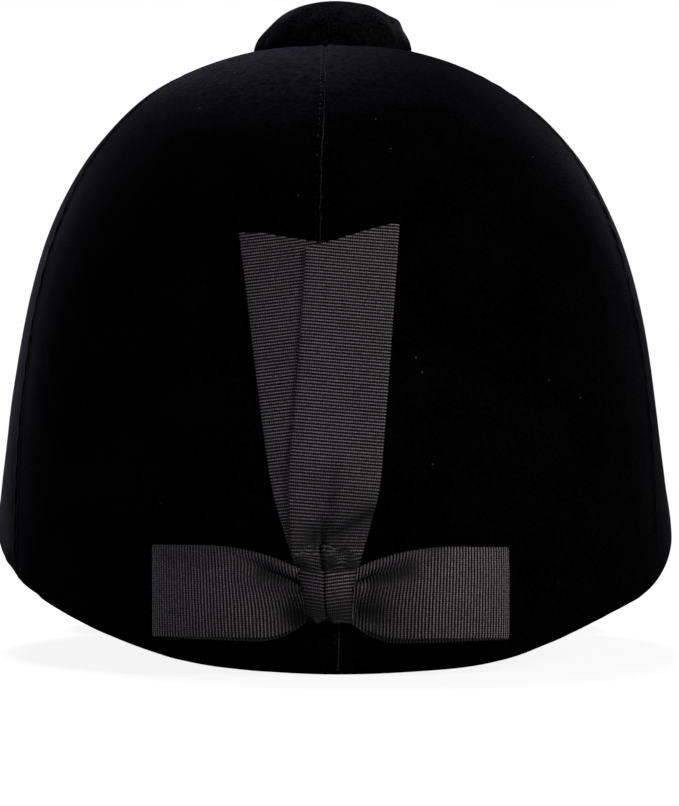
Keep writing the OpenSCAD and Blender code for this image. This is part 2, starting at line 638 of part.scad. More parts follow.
function strap_outline(gap) = let (a = [foot_y, foot_lift], b = [seat_x, seat_y], d = unit(b - a),
        across = [strap_w / 2 + gap, 0] / d[1], square_cut = [-d[1], d[0]] * (strap_w / 2 + gap))
    [a - across, a + across, b + d * gap - square_cut, b + d * gap + square_cut];
module side_strap(front) {
    mirror([front ? 0 : 1, 0, 0]) translate([0, 0, -strap_t / 2])
        linear_extrude(strap_t) polygon(strap_outline(0));
}
module strap_pocket() {
    translate([0, 0, -strap_t / 2 - run_gap]) linear_extrude(strap_t + 2 * run_gap)
        polygon(strap_outline(run_gap));
}
module divider() {
    w = window_w / 2 + lug_w;
    difference() {
        union() {
            translate([0, 0, -slab_t / 2]) linear_extrude(slab_t) polygon([
                [-w, divider_top], [w, divider_top],
                [w + divider_ear, divider_ear_y], [w, divider_foot + divider_chamfer],
                [w - divider_chamfer, divider_foot], [divider_chamfer - w, divider_foot],
                [-w, divider_foot + divider_chamfer], [-w - divider_ear, divider_ear_y]]);
            for (s = [-1, 1]) translate([s * (w - lug_w / 2), bar_y, bar_z]) rotate([0, 90, 0])
                cylinder(h = lug_w, d = lug_d, center = true);
        }
        translate([-window_w / 2, bar_y - eye_d / 2 - run_gap, -slab_t])
            cube([window_w, 2 * eye_d, 2 * slab_t]);
        strap_pocket();
        mirror([1, 0, 0]) strap_pocket();
    }
    translate([0, bar_y, bar_z]) rotate([0, 90, 0])
        cylinder(h = window_w + 2 * bar_hold, d = bar_d, center = true);
}

// The chin strap hangs from its eye on the cavity side of the divider
chin_face = bar_z - eye_d / 2;
chin_z = chin_face + strap_t / 2;
chin_foot = bar_y - chin_l;
pocket_d = 6;
module chin_strap() {
    difference() {
        union() {
            translate([-chin_w / 2, chin_foot - pocket_d, chin_face])
                cube([chin_w, chin_l + pocket_d, strap_t]);
            translate([0, bar_y, bar_z]) rotate([0, 90, 0]) cylinder(h = chin_w, d = eye_d, center = true);
        }
        translate([0, bar_y, bar_z]) rotate([0, 90, 0])
            cylinder(h = chin_w + 2, d = bar_d + 2 * run_gap, center = true);
    }
}
// Rounded slab for the buckle's pieces, centred on the chin strap
module slab(w, y0, y1, t, r) {
    translate([0, 0, chin_z - t / 2]) linear_extrude(t) union() {
        translate([-w / 2 + r, y0]) square([w - 2 * r, y1 - y0]);
        translate([-w / 2, y0 + r]) square([w, y1 - y0 - 2 * r]);
        for (x = [-w / 2 + r, w / 2 - r]) for (y = [y0 + r, y1 - r]) translate([x, y]) circle(r);
    }
}
module web_pocket(w, y0, y1) {
    translate([-w / 2, y0, chin_z - strap_t / 2 - run_gap]) cube([w, y1 - y0, strap_t + 2 * run_gap]);
}
buckle_r = 2.5;
buckle_wall = 3;
buckle_skin = 2;
mouth_w = buckle_w - 2 * buckle_wall;
mouth_t = buckle_t - 2 * buckle_skin;
socket_foot = chin_foot - socket_l;
mouth_depth = socket_l - pocket_d - 2 * buckle_skin;
window_l = 8;
window_foot = socket_foot + 6;
module buckle_socket_piece() {
    difference() {
        slab(buckle_w, socket_foot, chin_foot, buckle_t, buckle_r);
        web_pocket(chin_w + 2 * run_gap, chin_foot - pocket_d - run_gap, chin_foot + 1);
        translate([-mouth_w / 2, socket_foot - 1, chin_z - mouth_t / 2])
            cube([mouth_w, mouth_depth + 1, mouth_t]);
        for (s = [-1, 1]) translate([s * buckle_w / 2 - window_l / 2, window_foot, chin_z - mouth_t / 2])
            cube([window_l, window_l, mouth_t]);
    }
}
plug_l = 12;
prong_l = mouth_depth - 3;
prong_t = mouth_t - 1;
prong_w = 3;
prong_head_w = 4.4;
prong_head_l = 6;
prong_x = mouth_w / 2 - 2.5;
prong_head_x = mouth_w / 2 - 1.5;
prong_foot = chin_foot - plug_l - prong_l;
guide_l = prong_l * 0.7;
module prong(x, w, foot, l) {
    translate([x - w / 2, foot, chin_z - prong_t / 2]) cube([w, l, prong_t]);
}
module buckle_plug_piece() {
    difference() {
        union() {
            slab(buckle_w, chin_foot - plug_l, chin_foot, buckle_t, buckle_r);
            for (s = [-1, 1]) {
                prong(s * prong_x, prong_w, prong_foot, prong_l + 1);
                prong(s * prong_head_x, prong_head_w, prong_foot, prong_head_l);
            }
            prong(0, prong_w, chin_foot - plug_l - guide_l, guide_l + 1);
        }
        web_pocket(chin_w + 2 * run_gap, chin_foot - pocket_d - run_gap, chin_foot + 1);
    }
}
keeper_w = 5;
slider_t = 4.2;
slider_drop = 7;
slider_foot = bar_y - eye_d / 2 - slider_drop - slider_l;
slider_rim = 2.5;
keeper_t = 1.2;
keeper_gap = 0.15;
module slider_piece() {
    difference() {
        slab(chin_w + 2 * slider_rim, slider_foot, slider_foot + slider_l, slider_t, 1.5);
        web_pocket(chin_w + 2 * run_gap, slider_foot - 1, slider_foot + slider_l + 1);
    }
}
module keeper_piece() {
    difference() {
        slab(chin_w + 2 * keeper_t, chin_foot + lay_gap, chin_foot + lay_gap + keeper_w,
            strap_t + 2 * keeper_t, 0.8);
        translate([-chin_w / 2 - keeper_gap, chin_foot - 1, chin_z - strap_t / 2 - keeper_gap])
            cube([chin_w + 2 * keeper_gap, keeper_w + 4, strap_t + 2 * keeper_gap]);
    }
}

module left_front_strap() { color(plastic_color) strap_plane(-1) side_strap(true); }
module left_rear_strap() { color(plastic_color) strap_plane(-1) side_strap(false); }
module right_front_strap() { color(plastic_color) strap_plane(1) side_strap(true); }
module right_rear_strap() { color(plastic_color) strap_plane(1) side_strap(false); }
module left_divider() { color("#2a2a2d") strap_plane(-1) divider(); }
module right_divider() { color("#2a2a2d") strap_plane(1) divider(); }
module left_chin_strap() { color(plastic_color) strap_plane(-1) chin_strap(); }
module right_chin_strap() { color(plastic_color) strap_plane(1) chin_strap(); }
module buckle_socket() { color("#2a2a2d") strap_plane(-1) buckle_socket_piece(); }
module buckle_plug() { color("#2a2a2d") strap_plane(1) buckle_plug_piece(); }
module strap_slider() { color("#2a2a2d") strap_plane(1) slider_piece(); }
module strap_keeper() { color("#111114") strap_plane(1) keeper_piece(); }

// Anchors: each has a rivet, a washer and a tab of webbing that runs down the strap channel
// and under the liner's edge to the hinge line
module anchor_rivets() {
    color("silver") for (t = anchor_angles) on_wall(t, anchor_h) rivet(anchor_grip);
}
module anchor_washers() {
    color("silver") for (t = anchor_angles) on_wall(t, anchor_h) difference() {
        translate([0, 0, -anchor_grip]) cylinder(h = anchor_washer_t, d = rivet_head_d + 3);
        translate([0, 0, -anchor_grip - 1]) cylinder(h = anchor_washer_t + 2, d = rivet_d + 2 * hole_gap);
    }
}
tab_half = strap_w / 2 * 360 / (PI * (cap_w / 2 + back_reach));
hinge_slope = (hinge_front[2] - hinge_rear[2]) / (hinge_front[1] - hinge_rear[1]);
tab_gap = foot_lift + strap_t;
tab_half_l = 7;
tab_bend = 2.5;
function tab_grid(front, low) = let (sgn = front ? 1 : -1, off = webbing_off + low * strap_t,
        bend_up = liner_edge - 1.5 - 1.2 * (1 - low), turn_up = liner_edge - 2.5 - 1.4 * (1 - low))
    [for (p = [[anchor_h + tab_half_l, off], [anchor_h - tab_half_l, off],
            [bend_up, off], [turn_up, off + tab_bend]])
        [for (j = [-1:1]) place + crown_point(sgn * anchor_arc + j * tab_half, [1, p[0], p[1]])]];
function tab_end(front, low) = let (y_mid = front ? hinge_front[1] : hinge_rear[1])
    [for (j = [-1:1]) let (y = y_mid + j * strap_w / 2)
        [hinge_x + tab_gap, y, hinge_mid[2] + hinge_slope * (y - hinge_mid[1]) + (low - 0.5) * strap_t]];
module tab(front) {
    difference() {
        skin_solid(concat(tab_grid(front, 0), [tab_end(front, 0)]),
            concat(tab_grid(front, 1), [tab_end(front, 1)]));
        on_wall(front ? anchor_arc : -anchor_arc, anchor_h) rivet(anchor_grip, hole_gap);
    }
}
module anchor_tabs() {
    color(plastic_color) for (m = [0, 1]) mirror([m, 0, 0]) { tab(true); tab(false); }
}

back_left_velvet();
back_right_velvet();
front_left_velvet();
front_right_velvet();
shell();
liner();
lining();
headband_foam();
headband_cover();
crown_pad();
peak_board();
peak_cover();
peak_lining();
peak_piping();
peak_rivets();
button_core();
button_cover();
button_bolt();
button_washer();
button_nut();
bow_left_loop();
bow_right_loop();
bow_knot();
bow_left_tail();
bow_right_tail();
anchor_rivets();
anchor_washers();
anchor_tabs();
left_front_strap();
left_rear_strap();
left_divider();
left_chin_strap();
buckle_socket();
right_front_strap();
right_rear_strap();
right_divider();
right_chin_strap();
buckle_plug();
strap_slider();
strap_keeper();
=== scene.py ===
import math
import bpy
import bmesh
import numpy as np
from mathutils import Matrix, Vector


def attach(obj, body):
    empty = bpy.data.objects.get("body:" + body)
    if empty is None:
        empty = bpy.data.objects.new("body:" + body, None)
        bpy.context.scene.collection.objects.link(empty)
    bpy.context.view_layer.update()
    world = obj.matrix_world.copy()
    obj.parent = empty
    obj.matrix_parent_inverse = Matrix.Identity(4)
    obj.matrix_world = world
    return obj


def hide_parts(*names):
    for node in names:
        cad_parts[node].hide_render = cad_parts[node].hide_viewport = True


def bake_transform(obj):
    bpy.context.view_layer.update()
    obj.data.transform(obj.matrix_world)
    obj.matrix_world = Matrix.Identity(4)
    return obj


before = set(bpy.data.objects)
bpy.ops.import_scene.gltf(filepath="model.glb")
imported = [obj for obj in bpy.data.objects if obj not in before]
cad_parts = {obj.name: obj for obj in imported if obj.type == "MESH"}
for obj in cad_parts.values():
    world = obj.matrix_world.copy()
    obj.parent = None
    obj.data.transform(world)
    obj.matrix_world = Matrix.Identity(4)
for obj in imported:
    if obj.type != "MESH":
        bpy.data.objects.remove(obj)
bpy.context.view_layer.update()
scene = bpy.context.scene
MM = 0.001

# The cap's form, as in its source, in mm. Angles run in degrees round the crown from its right side,
# -90 at the back. A share s runs down the crown from 0 to 1 at the channel; under that, up is the
# height over the rim. Depths and offsets run inward from the velvet.
CAP_W, CROWN_H, BACK, FRONT = 199.5, 179.0, 122.0, 122.0
SIDE_RISE, FRONT_RISE, CHANNEL_H = 35.5, 38.0, 28.0
PLACE = np.array([0.0, -23.3047, 179.391])
HEM_IN, CHANNEL_IN, LINER_OFF, LINER_IN = 4.5, 8.55, 3.6, 19.6
LINING_OFF, LINING_IN = 19.65, 20.45
FOAM_OFF, FOAM_IN, COVER_IN = 20.75, 25.15, 25.85
LINER_EDGE, FOAM_LOW, FOAM_HIGH = 9.0, 9.3, 36.3
SIDE_DEPTH, FRONT_DEPTH = CROWN_H - SIDE_RISE, CROWN_H - FRONT_RISE
BAND_SIDE = SIDE_DEPTH - CHANNEL_H
SHARE_POWER, FIRST_SHARE = 1.7, 0.03


def lerp(a, b, k):
    return a + (b - a) * k


def unit(v):
    return v / np.maximum(np.linalg.norm(v, axis=-1, keepdims=True), 1e-12)


def ease(x, a, b):
    k = np.clip((x - a) / (b - a), 0, 1)
    return k * k * (3 - 2 * k)


def bump_at(x, mid, wide):
    return np.exp(-(((x - mid) / wide) ** 2))


def spread(*parts):
    return np.broadcast_arrays(*[np.asarray(a, float) for a in parts])


def vec(*parts):
    """Points from their coordinates."""
    return np.stack(spread(*parts), -1)


def run_of(p, axis=0):
    """Length along rows of points, from 0."""
    return np.insert(np.cumsum(np.linalg.norm(np.diff(p, axis=axis), axis=-1), axis), 0, 0, axis)


def around(count):
    """Angles round the cap, from the centre back."""
    return np.linspace(-90, 270, count, endpoint=False)[None]


def circle(count):
    return np.linspace(0, 2 * math.pi, count, endpoint=False)


def rounded(v, power):
    """A circle's cosine or sine, drawn out towards a square's."""
    return np.sign(v) * np.abs(v) ** power


def profile(h):
    return np.sqrt(1 - (1 - h / (CROWN_H * 1.14)) ** 5.75) + 0.191 * h / CROWN_H


def half_w(h):
    return CAP_W / 2 * profile(h) / profile(SIDE_DEPTH)


def back_reach(h):
    return BACK * profile(h) / profile(CROWN_H)


def face_point(t, h):
    r = np.radians(t)
    s = np.sin(r)
    reach = np.where(s < 0, back_reach(h), FRONT * profile(h) / profile(FRONT_DEPTH))
    return np.stack([half_w(h) * np.cos(r), reach * s, -h], -1)


def face_normal(t, h):
    q, step = np.sqrt(h), 0.02
    along = face_point(t, (q + step) ** 2) - face_point(t, (q - step) ** 2)
    across = face_point(t + step, h) - face_point(t - step, h)
    return unit(np.cross(along, across))


def rim_rise(t):
    s = np.sin(np.radians(t))
    back = SIDE_RISE * (1 - np.maximum(-s, 0) ** 1.15)
    return np.where(s < 0, back, SIDE_RISE + (FRONT_RISE - SIDE_RISE) * s**2)


def depth_of(t, s, up):
    over = BAND_SIDE * s**SHARE_POWER + (SIDE_RISE - rim_rise(t)) * s**5
    return np.where(s < 1, over, CROWN_H - rim_rise(t) - up)


def on_crown(t, s, up, off):
    t, s, up, off = spread(t, s, up, off)
    h = depth_of(t, s, up)
    return face_point(t, h) - face_normal(t, h) * off[..., None] + PLACE


def normal_on(t, s, up):
    t, s, up = spread(t, s, up)
    return face_normal(t, depth_of(t, s, up))


def seam_angle(s, up):
    """Degrees from the side to the side seam."""
    share = np.where(s < 1, s**SHARE_POWER * BAND_SIDE / SIDE_DEPTH, (SIDE_DEPTH - up) / SIDE_DEPTH)
    return 17 + 8 * share**4


def on_back(x, z, off):
    """A point on the back of the crown, at a sideways place, a height and a depth outward."""
    x, z, off = spread(x, z, off)
    h = CROWN_H - z
    a = np.degrees(np.arccos(np.minimum(0.98, np.abs(x) / half_w(h))))
    t = np.where(x < 0, -180 + a, -a)
    return face_point(t, h) + face_normal(t, h) * off[..., None] + PLACE


def noise(p, size, seed=0):
    """Smooth value noise from -1 to 1 at points in mm."""
    q = np.asarray(p, float) / size
    i = np.floor(q).astype(np.int64)
    f = q - i
    f = f * f * (3 - 2 * f)
    out = 0
    for c in range(8):
        d = np.array([c & 1, c >> 1 & 1, c >> 2 & 1])
        n = (i + d) @ np.array([73856093, 19349663, 83492791]) + seed * 7919
        n = (n ^ (n >> 13)) * 1274126177 & 0x7FFFFFFF
        n = (n ^ (n >> 16)) * 668265263 & 0x7FFFFFFF
        w = np.prod(np.where(d, f, 1 - f), -1)
        out = out + w * (n / 0x7FFFFFFF * 2 - 1)
    return out


# ---- meshes from grids of points
def grid_faces(m, n, ring=False):
    a = np.arange(m - 1)[:, None] * n + np.arange(n if ring else n - 1)[None]
    b = a - a % n + (a % n + 1) % n
    return np.stack([a, b, b + n, a + n], -1).reshape(-1, 4)


def closed_faces(m, n, ring=False):
    """Faces of a closed solid between two grids of m by n points, one after the other."""
    s, e = m * n, (m - 1) * n
    top = grid_faces(m, n, ring)
    wall = lambda a, b: np.stack([a, b, b + s, a + s], -1)
    j = np.arange(n if ring else n - 1)
    k = (j + 1) % n
    parts = [top, top[:, ::-1] + s, wall(k, j), wall(e + j, e + k)]
    if not ring:
        i = np.arange(m - 1) * n
        parts += [wall(i, i + n), wall(i + 2 * n - 1, i + n - 1)]
    return np.concatenate(parts)


def mend(ob, join=0.0, dissolve=0.0):
    """Turns the faces of a closed mesh outward, after points that coincide are joined."""
    bm = bmesh.new()
    bm.from_mesh(ob.data)
    if join:
        bmesh.ops.remove_doubles(bm, verts=bm.verts, dist=join)
    if dissolve:
        bmesh.ops.dissolve_degenerate(bm, edges=bm.edges, dist=dissolve)
    bmesh.ops.recalc_face_normals(bm, faces=bm.faces)
    bm.to_mesh(ob.data)
    bm.free()


def piece(name, points, faces, material, slot=None, uv=None, body="cap", middle=None, closed=True):
    """A mesh piece from points in mm, which replaces the CAD node of its name if it has a slot.

    Its faces look away from middle, or outward where it is closed.
    """
    points = np.asarray(points, float).reshape(-1, 3) * MM
    if middle is not None:
        q = points[faces]
        n = np.cross(q[:, 2] - q[:, 0], q[:, 3] - q[:, 1])
        if ((q.mean(1) - middle * MM) * n).sum() < 0:
            faces = faces[:, ::-1]
    me = bpy.data.meshes.new(name + "_made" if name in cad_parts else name)
    me.from_pydata(points.tolist(), [], faces.tolist())
    if uv is not None:
        layer = me.uv_layers.new(name="Cloth")
        index = np.empty(len(me.loops), np.int32)
        me.loops.foreach_get("vertex_index", index)
        layer.data.foreach_set("uv", np.asarray(uv, float).reshape(-1, 2)[index].ravel())
    me.materials.append(material)
    me.polygons.foreach_set("use_smooth", np.ones(len(me.polygons), bool))
    me.validate()
    me.update()
    ob = bpy.data.objects.new(me.name, me)
    scene.collection.objects.link(ob)
    if closed and middle is None:
        mend(ob)
    if body:
        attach(ob, body)
        if slot:
            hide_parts(name)
    return ob


def slab(name, front, rear, material, slot, uv, ring=False, **more):
    """A closed piece between two grids of points."""
    faces = closed_faces(*front.shape[:2], ring)
    return piece(name, np.concatenate([front, rear]), faces, material, slot, np.concatenate([uv, uv]), **more)


# ---- materials
def put(socket, value):
    """Sets a socket's own number, or links another socket to it."""
    if isinstance(value, bpy.types.NodeSocket):
        socket.id_data.links.new(value, socket)
    else:
        socket.default_value = value


def add(tree, kind, inputs=None, **values):
    n = tree.nodes.new(kind)
    for k, v in {**values, **(inputs or {})}.items():
        if k in n.inputs:
            put(n.inputs[k], v)
        else:
            setattr(n, k, v)
    return n


def looks(name, values):
    """A material whose shader has these values."""
    m = bpy.data.materials.new(name)
    m.use_nodes = True
    for k, v in values(m.node_tree).items():
        put(m.node_tree.nodes["Principled BSDF"].inputs[k], v)
    return m


def coords(tree, scale=(1, 1, 1), uv=False):
    if uv:
        src = add(tree, "ShaderNodeUVMap", uv_map="Cloth").outputs[0]
    else:
        src = add(tree, "ShaderNodeTexCoord").outputs["Object"]
    return add(tree, "ShaderNodeMapping", Scale=scale, Vector=src).outputs[0]


def split(vector):
    return add(vector.id_data, "ShaderNodeSeparateXYZ", Vector=vector).outputs


def noise_at(vector, scale, detail=2.0, rough=0.5):
    return add(vector.id_data, "ShaderNodeTexNoise", Scale=scale, Detail=detail, Roughness=rough,
               Vector=vector).outputs[0]


def cells_at(vector, scale, **values):
    return add(vector.id_data, "ShaderNodeTexVoronoi", Scale=scale, Vector=vector, **values).outputs["Distance"]


def ramp(fac, low, high, a=0.3, b=0.7):
    r = add(fac.id_data, "ShaderNodeValToRGB", Fac=fac)
    for stop, place, colour in zip(r.color_ramp.elements, (a, b), (low, high)):
        stop.position, stop.color = place, (*colour, 1)
    return r.outputs[0]


def maths(op, a, *others):
    n = add(a.id_data, "ShaderNodeMath", operation=op)
    for socket, value in zip(n.inputs, (a, *others)):
        put(socket, value)
    return n.outputs[0]


def mul(a, b):
    return maths("MULTIPLY", a, b)


def mul_add(a, b, c):
    return maths("MULTIPLY_ADD", a, b, c)


def less_one(a):
    n = add(a.id_data, "ShaderNodeMath", operation="SUBTRACT")
    n.inputs[0].default_value = 1.0
    put(n.inputs[1], a)
    return n.outputs[0]


def ridges(v, pitch):
    """Rounded ridges of this pitch, from 0 to 1."""
    return maths("ABSOLUTE", maths("SINE", mul(v, math.pi / pitch)))


def bump(height, strength, distance, before=None):
    b = add(height.id_data, "ShaderNodeBump", Strength=strength, Distance=distance, Height=height)
    if before is not None:
        put(b.inputs["Normal"], before)
    return b.outputs[0]


def between(fac, low, high, far=0.0, near=1.0, **values):
    """A value from low to high as fac goes from far to near."""
    names = {"From Min": far, "From Max": near, "To Min": low, "To Max": high, "Value": fac}
    return add(fac.id_data, "ShaderNodeMapRange", names, **values).outputs["Result"]


def mixed(fac, colour, other):
    """A plain colour where fac is 0 and the other colour where it is 1."""
    mx = add(fac.id_data, "ShaderNodeMix", data_type="RGBA")
    put(mx.inputs["Factor"], fac)
    for s in mx.inputs:
        if s.type == "RGBA":
            put(s, colour if s.name == "A" else other)
    return [s for s in mx.outputs if s.type == "RGBA"][0]


def painted_crest_sheen(t, col):
    """Painted sheen: round the top of the crown, more on its left, the colour turns paler and bluish in streaks, a
    painted highlight where the pile's sheen catches the light.
    """
    place = split(coords(t))
    aside = maths("ABSOLUTE", maths("ADD", place[0], 0.024))
    masks = [between(value, 0.0, 1.0, far, near, interpolation_type="SMOOTHSTEP")
             for value, far, near in ((place[2], 0.146, 0.188), (aside, 0.060, 0.004))]
    streak = noise_at(coords(t, (1, 1, 0.35)), 620, 2, 0.6)
    k = mul(mul(*masks), mul_add(streak, 1.9, -0.35))
    return mixed(less_one(k), (0.0112, 0.0110, 0.0138, 1), col)


def velvet(name, low, high, sheen, lint=True):
    def values(t):
        o = coords(t)
        patch = noise_at(o, 46, 3)
        pile = noise_at(o, 1100, 3, 0.7)
        col = ramp(mul_add(pile, 0.7, mul(patch, 0.3)), low, high, 0.40, 0.64)
        if lint:
            fleck = maths("LESS_THAN", cells_at(o, 130.0), 0.034)
            fleck = mul(fleck, maths("GREATER_THAN", noise_at(o, 70, 1), 0.51))
            # Lint flecks over the colour, which also carries the painted crest sheen.
            col = mixed(less_one(fleck), (0.022, 0.021, 0.022, 1), painted_crest_sheen(t, col))
        return {"Base Color": col, "Roughness": 1.0, "Specular IOR Level": 0.0, "Sheen Weight": sheen,
                "Sheen Roughness": 0.25, "Sheen Tint": (0.68, 0.68, 0.72, 1),
                "Normal": bump(pile, 0.6, 0.0003, bump(patch, 0.5, 0.0009))}

    return looks(name, values)


def grosgrain(t):
    """Ribbed ribbon: the ribs are in the mesh, and the fine warp that crosses them is here. The colour carries
    painted shade in the rib grooves and in the bow's folds, and painted highlight on the rib crests.
    """
    across, along, _ = split(coords(t, uv=True))
    bead, rib = ridges(across, 0.62), ridges(along, RIB)
    fuzz = noise_at(coords(t), 1500, 1)
    wear = noise_at(coords(t), 60, 2)
    # Near black in the rib grooves, pale on the rib crests and beads: partly the cloth's own black, partly painted
    # shade in the grooves and painted highlight on the crests and beads.
    k = mul(maths("POWER", rib, 5.6), mul_add(bead, 0.6, 0.4))
    k = mul(mul(k, mul_add(fuzz, 1.6, 0.2)), mul_add(wear, 0.5, 0.75))
    col = ramp(k, (0.0008, 0.0007, 0.0008), (0.136, 0.123, 0.124), 0.05, 1.0)
    # The fold attribute darkens the colour towards a flat dark tone: painted shade in the bow's folds and under the
    # knot.
    fold = add(t, "ShaderNodeAttribute", attribute_name="fold").outputs["Fac"]
    return {"Base Color": mixed(fold, (0.0034, 0.0031, 0.0032, 1), col), "Roughness": between(fuzz, 0.5, 0.68),
            "Specular IOR Level": 0.04, "Normal": bump(mul_add(fuzz, 0.25, bead), 0.6, 0.00012)}


def woven(name, low, high, pitch, rough=0.85, twill=False):
    """Cloth or webbing from its own cloth coordinates in mm."""
    def values(t):
        u, v, _ = split(coords(t, uv=True))
        if twill:
            lean = maths("ABSOLUTE", maths("SUBTRACT", maths("FRACT", maths("DIVIDE", u, pitch * 4)), 0.5))
            wave = ridges(mul_add(lean, pitch * 4, v), pitch)
            k = mul(wave, mul_add(ridges(u, pitch * 0.5), 0.3, 0.7))
        else:
            a, c = [maths("SINE", mul(w, 2 * math.pi / pitch)) for w in (u, v)]
            k = mul_add(mul(a, c), 0.5, 0.5)
        fuzz = noise_at(coords(t), 1300, 2)
        tone = noise_at(coords(t), 55, 2)
        k = mul_add(fuzz, 0.35, mul(k, 0.75))
        mix = mul_add(tone, 0.3, maths("SUBTRACT", k, 0.15))
        return {"Base Color": ramp(mix, low, high, 0.15, 0.95),
                "Roughness": between(fuzz, rough - 0.08, min(1, rough + 0.08)), "Specular IOR Level": 0.3,
                "Sheen Weight": 0.1, "Sheen Roughness": 0.45, "Normal": bump(k, 0.7, 0.00016)}

    return looks(name, values)


def plain(name, low, high, scale, rough, metal=0.0, spec=0.5, strength=0.3, distance=0.0001):
    def values(t):
        o = coords(t)
        g = noise_at(o, scale, 2.0, 0.55)
        mix = mul_add(g, 0.5, mul(noise_at(o, 45, 2), 0.5))
        return {"Base Color": ramp(mix, low, high), "Roughness": between(g, rough - 0.08, rough + 0.1),
                "Metallic": metal, "Specular IOR Level": spec, "Normal": bump(g, strength, distance)}

    return looks(name, values)


def beads(t):
    """Moulded foam: cells 2 to 3 mm across that meet in fine creases."""
    o = coords(t)
    d = maths("MINIMUM", mul(cells_at(o, 420.0, feature="DISTANCE_TO_EDGE"), 6.0), 1.0)
    grain = bump(noise_at(o, 3000, 1), 0.2, 0.0001)
    return {"Base Color": ramp(d, (0.06, 0.06, 0.062), (0.105, 0.105, 0.108), 0.0, 0.6), "Roughness": 0.72,
            "Normal": bump(d, 0.6, 0.0003, grain)}


def leather(t):
    o = coords(t)
    g = noise_at(o, 260, 3)
    k = mul_add(cells_at(o, 950.0, feature="SMOOTH_F1"), 0.6, mul(g, 0.4))
    col = ramp(noise_at(o, 40, 2), (0.012, 0.0105, 0.0095), (0.024, 0.020, 0.0175), 0.35, 0.65)
    return {"Base Color": col, "Roughness": between(g, 0.42, 0.62), "Normal": bump(k, 0.6, 0.0003)}


RIB = 0.91
BLACK_VELVET = velvet("black velvet", (0.0, 0.0, 0.0), (0.0011, 0.0010, 0.0011), 0.029)
# The button's cover is the crown's black velvet made paler: painted light on the button.
BUTTON_VELVET_PAINTED_LIGHT = velvet("button velvet painted paler", (0.0, 0.0, 0.0), (0.0042, 0.0040, 0.0042), 0.034, lint=False)
RIBBON = looks("grosgrain ribbon", grosgrain)
WEBBING = woven("webbing", (0.004, 0.004, 0.0045), (0.030, 0.030, 0.032), 1.5, 0.75, twill=True)
LINING_CLOTH = woven("lining cloth", (0.008, 0.0082, 0.0095), (0.036, 0.037, 0.042), 0.7, 0.9)
PEAK_CLOTH = woven("peak lining cloth", (0.007, 0.0072, 0.0082), (0.030, 0.031, 0.034), 0.6, 0.88)
PAD_CLOTH = woven("pad cloth", (0.007, 0.007, 0.008), (0.030, 0.030, 0.034), 0.9, 0.92)
ELASTIC = woven("elastic", (0.004, 0.004, 0.0045), (0.026, 0.026, 0.028), 0.8, 0.8)
LEATHER = looks("headband leather", leather)
EPS = looks("foam beads", beads)
SHELL_MAT = plain("moulded shell", (0.012, 0.013, 0.016), (0.020, 0.021, 0.025), 900, 0.42)
PLASTIC = plain("moulded plastic", (0.012, 0.012, 0.013), (0.020, 0.020, 0.021), 1500, 0.46, strength=0.35)
METAL = plain("plated steel", (0.42, 0.41, 0.39), (0.58, 0.57, 0.55), 1800, 0.32, metal=1.0, strength=0.15)
BOARD = plain("pressed board", (0.016, 0.014, 0.012), (0.030, 0.026, 0.022), 700, 0.85, spec=0.3)
CORE_WOOD = plain("turned core", (0.30, 0.24, 0.16), (0.40, 0.33, 0.23), 500, 0.75, spec=0.3)
SOFT_FOAM = plain("soft foam", (0.08, 0.08, 0.085), (0.12, 0.12, 0.125), 1400, 0.95, 0.0, 0.2, 0.6, 0.0003)
THREAD = plain("black thread", (0.0015, 0.0015, 0.0018), (0.006, 0.006, 0.007), 2500, 0.9, 0.0, 0.03, 0.6)
# The seam edge's paler colour is painted sheen.
SEAM_SHEEN = plain("painted seam sheen", (0.002, 0.002, 0.0022), (0.020, 0.020, 0.023), 1800, 1.0, 0.0, 0.0, 0.6)
PALE_THREAD = plain("grey thread", (0.014, 0.0135, 0.013), (0.030, 0.029, 0.028), 2500, 0.8, 0.0, 0.1, 0.6)

NODE_LOOK = {
    "shell": SHELL_MAT, "peak_board": BOARD, "button_core": CORE_WOOD,
    "button_bolt": METAL, "button_washer": METAL, "button_nut": METAL, "peak_rivets": METAL,
    "anchor_rivets": METAL, "anchor_washers": METAL, "left_divider": PLASTIC, "right_divider": PLASTIC,
    "buckle_socket": PLASTIC, "buckle_plug": PLASTIC, "strap_slider": PLASTIC,
}
EDGE_WIDTH = {"left_divider": 0.0006, "right_divider": 0.0006, "buckle_socket": 0.0007,
              "buckle_plug": 0.0006, "strap_slider": 0.0005}
for name, look in NODE_LOOK.items():
    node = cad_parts[name]
    node.data.materials.clear()
    node.data.materials.append(look)
for name, wide in EDGE_WIDTH.items():
    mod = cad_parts[name].modifiers.new("Rounded edges", "BEVEL")
    mod.width, mod.segments, mod.limit_method, mod.angle_limit = wide, 2, "ANGLE", math.radians(40)
    mod.harden_normals = False

# ---- velvet gores
MIDDLE = PLACE + [0, 0, -95.0]
CROWN_ROWS, BAND_ROWS, ROLL = 104, 22, 2.3


def rows_down(first, over, ups):
    """Shares and heights of rows down the crown: so many over the channel, then at these heights."""
    s = np.concatenate([np.linspace(first, 1, over), np.ones(len(ups))])
    return s, np.concatenate([np.full(over, CHANNEL_H), ups])


turn = np.radians(np.linspace(0, 180, 15))[1:]
band_ups = np.linspace(CHANNEL_H, 3, BAND_ROWS + 1)[1:]
roll_ups = 3 * (1 - np.abs(np.sin(turn)) ** 0.45)
s_rows, up_rows = rows_down(FIRST_SHARE, CROWN_ROWS, np.concatenate([band_ups, roll_ups, [4.5, 6.5, 8.0]]))
off_rows = np.concatenate([np.zeros(CROWN_ROWS + BAND_ROWS), ROLL - ROLL * np.cos(turn), [4.55, 4.55, 4.5]])


def seam_wander(s, up):
    """Degrees by which the centre back seam runs left of the middle."""
    h = depth_of(-90.0, s, up)
    reach = back_reach(h)
    left = lerp(3.0 + 0.066 * np.minimum(h, 50), 0.8, ease(h, 60, 170)) * ease(reach, 0, 24)
    return np.degrees((left + 0.15 * np.sin(h / 4.7)) / np.maximum(reach, 6))


